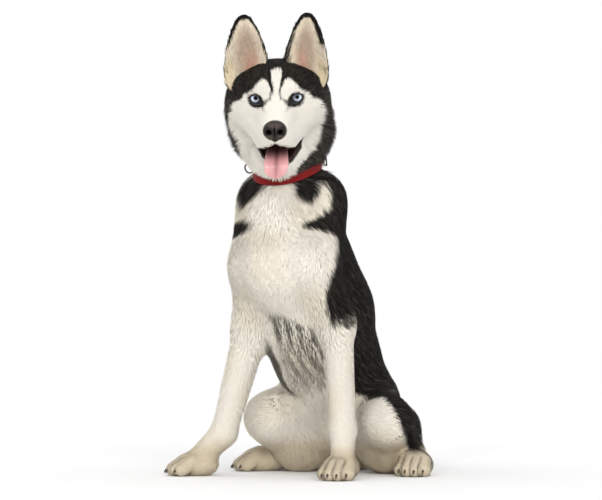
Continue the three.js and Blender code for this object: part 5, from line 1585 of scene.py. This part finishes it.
def ear_hair(side, way, count, random):
    """Tufts over one face of an ear, lying towards its tip."""
    z = EAR_TIP - 2.0 - (EAR_TIP - EAR_FOOT - 6.0) * random.random(count) ** 0.85
    u = random.uniform(-1.0, 1.0, count)
    at = ear_at(side, z, u, way)
    up = unit(ear_at(side, z + 1.0, u, way) - at)
    across = unit(ear_at(side, z, u + 0.02, way) - at) * side
    out = unit(np.cross(across, up))
    out = out * np.sign(out[:, 1] * way)[:, None]
    length, lean, stand = ear_lie(side, way, EAR_TIP - z, u, random)
    way_along = unit(up + across * (side * lean)[:, None])
    middle = at + way_along * (length * 0.5)[:, None] + out * (length * stand * 0.8)[:, None]
    tip = at + way_along * length[:, None] + out * (length * stand * 1.1)[:, None]
    limit = ear_at(side, np.minimum(z + length, EAR_TIP), u, way)
    tip = np.where((z + length > EAR_TIP)[:, None], limit + out * 0.6, tip)
    side_way = unit(np.cross(way_along, out))
    width = (0.7 + 0.045 * length) * (0.8 + 0.4 * random.random(count))
    colours = BLACK + (GREY - BLACK) * (0.3 * random.random(count) ** 4)[:, None]
    if way < 0:
        colours = ear_front(np.minimum(z + length * 0.55, EAR_TIP - 1.0), u)
    colours = colours * (0.80 + 0.32 * random.random(count))[:, None]
    places = [from_head(v) for v in (at - out * 0.5, middle, tip)]
    ways = [v @ HEAD_TURN.T for v in (side_way, side_way, out, out)]
    return from_head(at), [*places, *ways, width], colours


def build_ears(settings):
    random = np.random.default_rng(settings.seed + 1)
    material, skin = fur_material(), skin_material()
    for name, side in (("left", 1.0), ("right", -1.0)):
        ear_skin(name, side, skin)
        faces = [ear_hair(side, way, count, random) for way, count in EAR_TUFTS]
        roots = np.concatenate([f[0] for f in faces])
        ends = [np.concatenate(parts) for parts in zip(*(f[1] for f in faces))]
        colours = np.concatenate([f[2] for f in faces])
        hair_piece("coat_ear_" + name, material, ends, roots, colours, "dark_coat")


# ---- collar --------------------------------------------------------------------------------------
BAND_HALF, BAND_THICK, BAND_SUNK, BAND_COAT = 6.0, 3.0, 1.0, 5.0
BAND_STEPS = 150
STITCH_HEIGHT, STITCH_PROUD = 0.62, 0.12
RING_DEGREES, RING_RADIUS, RING_WIRE, RING_OUT, RING_DROP = 174.0, 7.5, 1.3, 9.2, 6.5
BUCKLE_DEGREES, BUCKLE_WIDTH, BUCKLE_HEIGHT, BUCKLE_WIRE, PRONG_WIRE = 45.0, 17.6, 14.6, 1.2, 0.9


def band_radius(angles, z):
    """How far the coat under the collar reaches from its middle, by angle."""
    r = np.arange(30.0, 110.0, 0.5)
    x, y = np.outer(np.cos(angles), r), np.outer(np.sin(angles), r)
    places = np.stack([x, y, np.full(x.shape, z)], -1).reshape(-1, 3)
    value = (coat_outline(from_collar(places)) + BAND_COAT).reshape(x.shape)
    return r[(value < 0).argmin(1)] - BAND_SUNK


def band_line(angles, low, high, height, out):
    """A closed line round the band at a share of its half height and a distance out of the coat."""
    r = low + (high - low) * (height + 1.0) / 2.0 + out
    return np.stack([r * np.cos(angles), r * np.sin(angles), np.full(BAND_STEPS, BAND_HALF * height)], 1)


def band_section():
    """Rounded edges and a flat back, as (share of half height, share of thickness)."""
    corner = [(-1.0, 0.25), (-0.985, 0.62), (-0.93, 0.86), (-0.82, 0.97), (-0.6, 1.0), (0.0, 1.0)]
    return [(-0.9, 0.0), *corner, *[(-h, t) for h, t in reversed(corner[:-1])], (0.9, 0.0)]


def band_rings():
    angles = np.linspace(0.0, 2.0 * math.pi, BAND_STEPS, endpoint=False)
    low, high = band_radius(angles, -BAND_HALF), band_radius(angles, BAND_HALF)
    kernel = np.ones(7) / 7.0
    once = slice(BAND_STEPS, 2 * BAND_STEPS)
    low, high = (np.convolve(np.tile(v, 3), kernel, "same")[once] for v in (low, high))
    rings = [band_line(angles, low, high, h, BAND_THICK * depth) for h, depth in band_section()]
    return np.stack(rings, 1), angles, low, high


STITCH_SOCKETS = (("Stitch pitch", 0.0032), ("Stitch length", 0.0022), ("Thread radius", 0.00032))
STITCH_NODES = {
    "curve": "GeometryNodeMeshToCurve",
    "spaced": "GeometryNodeResampleCurve",
    "tangent": "GeometryNodeInputTangent",
    "align": "FunctionNodeAlignRotationToVector",
    "thread": "GeometryNodeMeshCylinder",
    "placed": "GeometryNodeInstanceOnPoints",
    "real": "GeometryNodeRealizeInstances",
    "dressed": "GeometryNodeSetMaterial",
    "given": "NodeGroupInput",
    "result": "NodeGroupOutput",
}
STITCH_LINKS = (
    ("given", "Geometry", "curve", "Mesh"),
    ("curve", "Curve", "spaced", "Curve"),
    ("given", "Stitch pitch", "spaced", "Length"),
    ("tangent", "Tangent", "align", "Vector"),
    ("given", "Thread radius", "thread", "Radius"),
    ("given", "Stitch length", "thread", "Depth"),
    ("spaced", "Curve", "placed", "Points"),
    ("thread", "Mesh", "placed", "Instance"),
    ("align", "Rotation", "placed", "Rotation"),
    ("placed", "Instances", "real", "Geometry"),
    ("real", "Geometry", "dressed", "Geometry"),
    ("dressed", "Geometry", "result", "Geometry"),
)


def stitch_tree(material):
    """Geometry nodes that sew short threads along a line of points."""
    tree = bpy.data.node_groups.new("collar_stitches", "GeometryNodeTree")
    sockets = tree.interface
    sockets.new_socket("Geometry", in_out="INPUT", socket_type="NodeSocketGeometry")
    for name, size in STITCH_SOCKETS:
        socket = sockets.new_socket(name, in_out="INPUT", socket_type="NodeSocketFloat")
        socket.default_value = size
    sockets.new_socket("Geometry", in_out="OUTPUT", socket_type="NodeSocketGeometry")
    nodes = {name: tree.nodes.new(kind) for name, kind in STITCH_NODES.items()}
    nodes["spaced"].mode = "LENGTH"
    nodes["align"].axis = "Z"
    nodes["thread"].inputs["Vertices"].default_value = 6
    nodes["dressed"].inputs["Material"].default_value = material
    for source, out_name, target, in_name in STITCH_LINKS:
        tree.links.new(nodes[source].outputs[out_name], nodes[target].inputs[in_name])
    return tree


def build_stitches(settings, angles, low, high):
    """Two rows of stitches along the collar's edges."""
    material = thread_material(settings)
    points, edges = [], []
    for height in (-STITCH_HEIGHT, STITCH_HEIGHT):
        start = len(points) * BAND_STEPS
        points.append(band_line(angles, low, high, height, BAND_THICK + STITCH_PROUD))
        edges += [(start + n, start + (n + 1) % BAND_STEPS) for n in range(BAND_STEPS)]
    mesh = bpy.data.meshes.new("stitch_line")
    mesh.from_pydata(row(from_collar(np.concatenate(points))).tolist(), edges, [])
    line = new_object("stitch_line", mesh)
    modifier = line.modifiers.new("stitches", "NODES")
    modifier.node_group = stitch_tree(material)
    wanted = {"Stitch pitch": settings.stitch_pitch, "Stitch length": settings.stitch_length}
    for item in modifier.node_group.interface.items_tree:
        if item.name in wanted:
            modifier[item.identifier] = wanted[item.name]
    graph = bpy.context.evaluated_depsgraph_get()
    sewn = bpy.data.meshes.new_from_object(line.evaluated_get(graph))
    bpy.data.objects.remove(line)
    sewn.name = "collar_stitches"
    finished(new_object("collar_stitches", sewn), material, "collar")


def on_band(degrees, angles, low, high):
    """Turn and place of a frame on the band's outside: x along it, y out of it, z up."""
    spread = np.radians([-15, -10, -5, 0, 5, 10, 15])
    around = math.radians(degrees) + spread
    outer = np.interp(around, angles, np.maximum(low, high), period=2.0 * math.pi) + BAND_THICK
    reach = (outer * np.cos(spread)).max() + 0.3
    turn = turning(degrees - 90.0)
    return lambda p: from_collar((np.asarray(p) + (0.0, reach, 0.0)) @ turn.T)


def ringed(at, radius, first, second, sides):
    """Circles round the points of a path, each spanned by two ways across it."""
    around = np.linspace(0.0, 2.0 * math.pi, sides, endpoint=False)
    across = np.cos(around)[:, None] * first[:, None] + np.sin(around)[:, None] * second[:, None]
    return at[:, None] + radius * across


def tube(path, radius, sides=10, closed=True):
    """Rings round a path in a plane frame."""
    path = np.asarray(path, dtype=float)
    ahead = np.roll(path, -1, 0) - np.roll(path, 1, 0) if closed else np.gradient(path, axis=0)
    plane = unit(np.cross(path[1] - path[0], path[len(path) // 3] - path[0]))
    first = np.cross(unit(ahead), plane)
    return ringed(path, radius, first, np.tile(plane, (len(path), 1)), sides)


def rounded_loop(width, height, corner, steps=8):
    turn = np.linspace(0.0, math.pi / 2.0, steps)
    quarter = [(width / 2 - corner, height / 2 - corner), (corner - width / 2, height / 2 - corner)]
    quarter += [(corner - width / 2, corner - height / 2), (width / 2 - corner, corner - height / 2)]
    points = []
    for n, (x, z) in enumerate(quarter):
        a = turn + n * math.pi / 2.0
        points += list(zip(x + corner * np.cos(a), np.zeros(steps), z + corner * np.sin(a)))
    return np.array(points)


def build_ring(place, steel, leather):
    """The hanging ring and the short strap that holds it."""
    turn = np.linspace(0.0, 2.0 * math.pi, 48, endpoint=False)
    across, height = RING_RADIUS * np.cos(turn), RING_RADIUS * np.sin(turn)
    circle = np.stack([np.zeros(len(turn)), RING_OUT + across, height - RING_DROP], 1)
    points, quads, _ = lofted(tube(circle, RING_WIRE), closed=True)
    hoop = turned_out(new_mesh("collar_hoop", place(points), quads))
    finished(hoop, steel, "steel", "collar_ring")
    loop = [(x, y, z - 3.0) for y, x, z in rounded_loop(5.0, 6.0, 1.6)]
    strap = np.stack([np.array(loop) + (x, 2.6, 0.0) for x in (-2.8, -2.4, 2.4, 2.8)])
    for end in (strap[0], strap[3]):
        middle = end[:, 1:].mean(0)
        end[:, 1:] = middle + (end[:, 1:] - middle) * 0.86
    points, quads, triangles = lofted(strap)
    keeper = turned_out(new_mesh("collar_loop", place(points), quads, triangles))
    finished(keeper, leather, "collar", "collar_keeper")


def build_buckle(place, steel):
    """The buckle's frame with its prong."""
    outline = rounded_loop(BUCKLE_WIDTH, BUCKLE_HEIGHT, 2.6) + (0.0, BUCKLE_WIRE, 0.0)
    points, quads, _ = lofted(tube(outline, BUCKLE_WIRE), closed=True)
    prong = np.array([(0.0, 1.6, -7.0), (0.0, 2.0, -3.0), (0.0, 2.0, 2.0), (0.0, 1.7, 7.4)])
    extra, side_quads, caps = lofted(tube(prong, PRONG_WIRE, closed=False))
    points, start = np.concatenate([points, extra]), len(points)
    quads = np.concatenate([quads, side_quads + start])
    buckle = new_mesh("collar_frame", place(points), quads, caps + start)
    finished(turned_out(buckle), steel, "steel", "collar_buckle")


def build_collar(settings):
    rings, angles, low, high = band_rings()
    points, quads, _ = lofted(rings, closed=True)
    leather, steel = leather_material(settings), steel_material()
    band = turned_out(new_mesh("collar_band", from_collar(points), quads))
    finished(band, leather, "collar", "collar")
    build_stitches(settings, angles, low, high)
    build_ring(on_band(RING_DEGREES, angles, low, high), steel, leather)
    build_buckle(on_band(BUCKLE_DEGREES, angles, low, high), steel)


# ---- claws ---------------------------------------------------------------------------------------
CLAW_RADII = [2.6, 2.6, 2.1, 1.4, 0.5]
CLAW_DARK, CLAW_PALE = (0.07, 0.045, 0.036), np.array([0.30, 0.17, 0.13])


def claw_path(x, reach):
    """A claw's bent path from its toe to its point, in the paw's frame."""
    tip = reach - 11.0
    return [(x * 0.98, tip + 9, 9), (x, tip + 3, 10), (x * 1.01, tip - 0.5, 8), (x * 1.02, tip - 2.6, 4.4)]


def horn(path, radii, sides=12, steps=9):
    """A claw along a bent path."""
    shares = np.linspace(0.0, 1.0, steps)
    at = smooth_path(path, shares)
    along = unit(np.gradient(at, axis=0))
    first = unit(np.cross(along, (0.31, 0.12, 0.94) if abs(along[0][2]) < 0.9 else (1.0, 0.0, 0.0)))
    radius = np.interp(shares * (len(radii) - 1), range(len(radii)), radii)
    return ringed(at, radius[:, None, None], first, np.cross(along, first), sides)


def build_claws():
    all_points, all_quads, all_caps, colours, start = [], [], [], [], 0
    for at, turn in PAWS.values():
        for x, reach in zip(TOE_SPREAD, TOE_REACH):
            path = claw_path(x, reach)
            points, quads, caps = lofted(horn(path, CLAW_RADII))
            all_points.append(points @ turning(turn).T + np.array(at))
            all_quads.append(quads + start)
            all_caps.append(caps + start)
            base, tip = path[0][1], path[-1][1]
            share = np.clip((points[:, 1] - tip) / (base - tip), 0.0, 1.0)
            dark = np.tile(CLAW_DARK, (len(points), 1))
            colours.append(laid_over(dark, CLAW_PALE, rise(share - 0.6, 0.2)))
            start += len(points)
    faces = np.concatenate(all_quads), np.concatenate(all_caps)
    piece = new_mesh("claws", np.concatenate(all_points), *faces)
    paint(turned_out(piece), np.concatenate(colours))
    finished(piece, claw_material(), "nose")


# ---- stage ---------------------------------------------------------------------------------------
CAMERA_AT = (1233.3, -2537.7, 180.0)
CAMERA_AZIMUTH, CAMERA_PITCH = math.radians(25.0), math.atan(110.0 / 1866.7)
# Lamps: name, the way towards it, its spread in degrees and its share of the light.
LAMPS = (
    ("key", (0.55, -0.82, 0.38), 35.0, 1.0),
    ("top", (0.0, 0.0, 1.0), 70.0, 0.28),
    ("side", (-0.7, -0.6, 0.25), 60.0, 0.10),
    ("spark", (0.05, -0.85, 0.42), 5.0, 0.2),
)
FLOOR_REACH = 6000.0


def build_floor():
    corners = np.array([(-1, -1, 0), (1, -1, 0), (1, 1, 0), (-1, 1, 0)]) * FLOOR_REACH
    floor = new_mesh("floor", corners + MIDDLE, np.array([[0, 1, 2, 3]]))
    shader = Shader("studio_floor")
    shade = shader.noise(3.0, 2.0)
    base = shader.mixed(shade * 0.04, rgb((0.9, 0.9, 0.9)), rgb((0.82, 0.82, 0.82)))
    shader.surface_set(Base_Color=base, Roughness=0.9)
    floor.data.materials.append(shader.material)


def build_world(settings):
    """A soft white surrounding, seen by the camera as plain white."""
    world = bpy.data.worlds.new("studio")
    world.use_nodes = True
    tree = world.node_tree
    fill = tree.nodes["Background"]
    backdrop = tree.nodes.new("ShaderNodeBackground")
    fill.inputs["Color"].default_value = backdrop.inputs["Color"].default_value = rgb((1, 1, 1))
    fill.inputs["Strength"].default_value = settings.fill
    seen = tree.nodes.new("ShaderNodeLightPath")
    either = tree.nodes.new("ShaderNodeMixShader")
    tree.links.new(seen.outputs["Is Camera Ray"], either.inputs[0])
    tree.links.new(fill.outputs[0], either.inputs[1])
    tree.links.new(backdrop.outputs[0], either.inputs[2])
    tree.links.new(either.outputs[0], tree.nodes["World Output"].inputs["Surface"])
    bpy.context.scene.world = world


def build_lamps(settings):
    for name, direction, spread, power in LAMPS:
        light = bpy.data.lights.new(name, "SUN")
        light.angle = math.radians(spread)
        light.energy = settings.light * power
        lamp = new_object(name, light)
        lamp.location = Vector(direction) * 3.0
        lamp.rotation_euler = Vector(direction).to_track_quat("Z", "Y").to_euler()


def build_camera():
    lens = bpy.data.cameras.new("camera")
    lens.lens, lens.sensor_width, lens.clip_end = 111.6, 36.0, 50.0
    camera = new_object("camera", lens)
    camera.location = row(np.array([CAMERA_AT]))[0]
    camera.rotation_euler = (math.pi / 2.0 + CAMERA_PITCH, 0.0, CAMERA_AZIMUTH)
    bpy.context.scene.camera = camera


def build_stage(settings):
    build_floor()
    build_world(settings)
    build_lamps(settings)
    build_camera()
    bpy.context.scene.view_settings.view_transform = "Standard"


# ---- settings, operators and panel ---------------------------------------------------------------
class HuskySkinSettings(bpy.types.PropertyGroup):
    """How finely the skin is made."""

    body_cell: bpy.props.FloatProperty(
        name="Body grain",
        description="Size of the body skin's faces",
        default=0.0036,
        unit="LENGTH",
        precision=4,
    )
    head_cell: bpy.props.FloatProperty(
        name="Head grain",
        description="Size of the head skin's faces",
        default=0.0016,
        unit="LENGTH",
        precision=4,
    )


class HuskyCoatSettings(bpy.types.PropertyGroup):
    """How the coat grows."""

    length: bpy.props.FloatProperty(
        name="Length",
        description="Share of the coat's natural length",
        default=1.0,
    )
    width: bpy.props.FloatProperty(
        name="Tuft width",
        description="Share of a tuft's natural width",
        default=1.0,
    )
    seed: bpy.props.IntProperty(
        name="Seed",
        description="Start of the coat's random variation",
        default=7,
    )


class HuskyCollarSettings(bpy.types.PropertyGroup):
    """Colours and sewing of the collar."""

    leather_deep: bpy.props.FloatVectorProperty(
        name="Deep leather",
        description="Darker of the leather's two colours",
        default=(0.12, 0.004, 0.004),
        subtype="COLOR",
        min=0.0,
        max=1.0,
    )
    leather_light: bpy.props.FloatVectorProperty(
        name="Light leather",
        description="Lighter of the leather's two colours",
        default=(0.25, 0.009, 0.008),
        subtype="COLOR",
        min=0.0,
        max=1.0,
    )
    thread_deep: bpy.props.FloatVectorProperty(
        name="Deep thread",
        description="Darker of the thread's two colours",
        default=(0.16, 0.010, 0.012),
        subtype="COLOR",
        min=0.0,
        max=1.0,
    )
    thread_light: bpy.props.FloatVectorProperty(
        name="Light thread",
        description="Lighter of the thread's two colours",
        default=(0.34, 0.03, 0.03),
        subtype="COLOR",
        min=0.0,
        max=1.0,
    )
    stitch_pitch: bpy.props.FloatProperty(
        name="Stitch pitch",
        description="Distance from stitch to stitch",
        default=0.0032,
        unit="LENGTH",
        precision=4,
    )
    stitch_length: bpy.props.FloatProperty(
        name="Stitch length",
        description="Length of one stitch",
        default=0.0022,
        unit="LENGTH",
        precision=4,
    )


class HuskyStageSettings(bpy.types.PropertyGroup):
    """Light of the studio."""

    light: bpy.props.FloatProperty(
        name="Light",
        description="Strength of the key light",
        default=1.54,
    )
    fill: bpy.props.FloatProperty(
        name="Fill",
        description="Brightness of the surroundings",
        default=0.78,
    )


class HUSKY_OT_stage(bpy.types.Operator):
    """Add the floor, the lights and the camera"""

    bl_idname = "husky.stage"
    bl_label = "Stage"

    def execute(self, context):
        build_stage(context.scene.husky_stage)
        return {"FINISHED"}


class HUSKY_OT_skin(bpy.types.Operator):
    """Lay one skin over the flesh"""

    bl_idname = "husky.skin"
    bl_label = "Skin"

    def execute(self, context):
        build_skin(context.scene.husky_skin)
        return {"FINISHED"}


class HUSKY_OT_coat(bpy.types.Operator):
    """Grow the coat on the skin"""

    bl_idname = "husky.coat"
    bl_label = "Coat"

    def execute(self, context):
        build_coat(context.scene.husky_coat, bpy.data.objects["skin"])
        return {"FINISHED"}


class HUSKY_OT_ears(bpy.types.Operator):
    """Shape the ears and their hair"""

    bl_idname = "husky.ears"
    bl_label = "Ears"

    def execute(self, context):
        build_ears(context.scene.husky_coat)
        return {"FINISHED"}


class HUSKY_OT_eyes(bpy.types.Operator):
    """Set the eyes in their lids"""

    bl_idname = "husky.eyes"
    bl_label = "Eyes"

    def execute(self, context):
        build_eyes()
        return {"FINISHED"}


class HUSKY_OT_muzzle(bpy.types.Operator):
    """Shape the nose and the tongue"""

    bl_idname = "husky.muzzle"
    bl_label = "Nose and tongue"

    def execute(self, context):
        build_nose()
        build_tongue()
        return {"FINISHED"}


class HUSKY_OT_collar(bpy.types.Operator):
    """Make the collar with its stitches, ring and buckle"""

    bl_idname = "husky.collar"
    bl_label = "Collar"

    def execute(self, context):
        build_collar(context.scene.husky_collar)
        return {"FINISHED"}


class HUSKY_OT_claws(bpy.types.Operator):
    """Put the claws in the paws"""

    bl_idname = "husky.claws"
    bl_label = "Claws"

    def execute(self, context):
        build_claws()
        return {"FINISHED"}


STEPS = (
    HUSKY_OT_stage,
    HUSKY_OT_skin,
    HUSKY_OT_coat,
    HUSKY_OT_ears,
    HUSKY_OT_eyes,
    HUSKY_OT_muzzle,
    HUSKY_OT_collar,
    HUSKY_OT_claws,
)


class HUSKY_PT_panel(bpy.types.Panel):
    """Sizes of the husky and the steps that build it"""

    bl_label = "Husky"
    bl_idname = "HUSKY_PT_panel"
    bl_space_type = "VIEW_3D"
    bl_region_type = "UI"
    bl_category = "Husky"

    def draw(self, context):
        scene = context.scene
        for group in (scene.husky_skin, scene.husky_coat, scene.husky_collar, scene.husky_stage):
            box = self.layout.box()
            for name in group.__annotations__:
                box.prop(group, name)
        for step in STEPS:
            self.layout.operator(step.bl_idname)


GROUPS = {
    "husky_skin": HuskySkinSettings,
    "husky_coat": HuskyCoatSettings,
    "husky_collar": HuskyCollarSettings,
    "husky_stage": HuskyStageSettings,
}


def register():
    for kind in (*GROUPS.values(), *STEPS, HUSKY_PT_panel):
        bpy.utils.register_class(kind)
    for name, kind in GROUPS.items():
        setattr(bpy.types.Scene, name, bpy.props.PointerProperty(type=kind))


def unregister():
    for name in GROUPS:
        delattr(bpy.types.Scene, name)
    for kind in reversed((*GROUPS.values(), *STEPS, HUSKY_PT_panel)):
        bpy.utils.unregister_class(kind)


def main():
    register()
    bpy.ops.husky.stage()
    bpy.ops.husky.skin()
    bpy.ops.husky.coat()
    bpy.ops.husky.ears()
    bpy.ops.husky.eyes()
    bpy.ops.husky.muzzle()
    bpy.ops.husky.collar()
    bpy.ops.husky.claws()


if __name__ == "__main__":
    main()
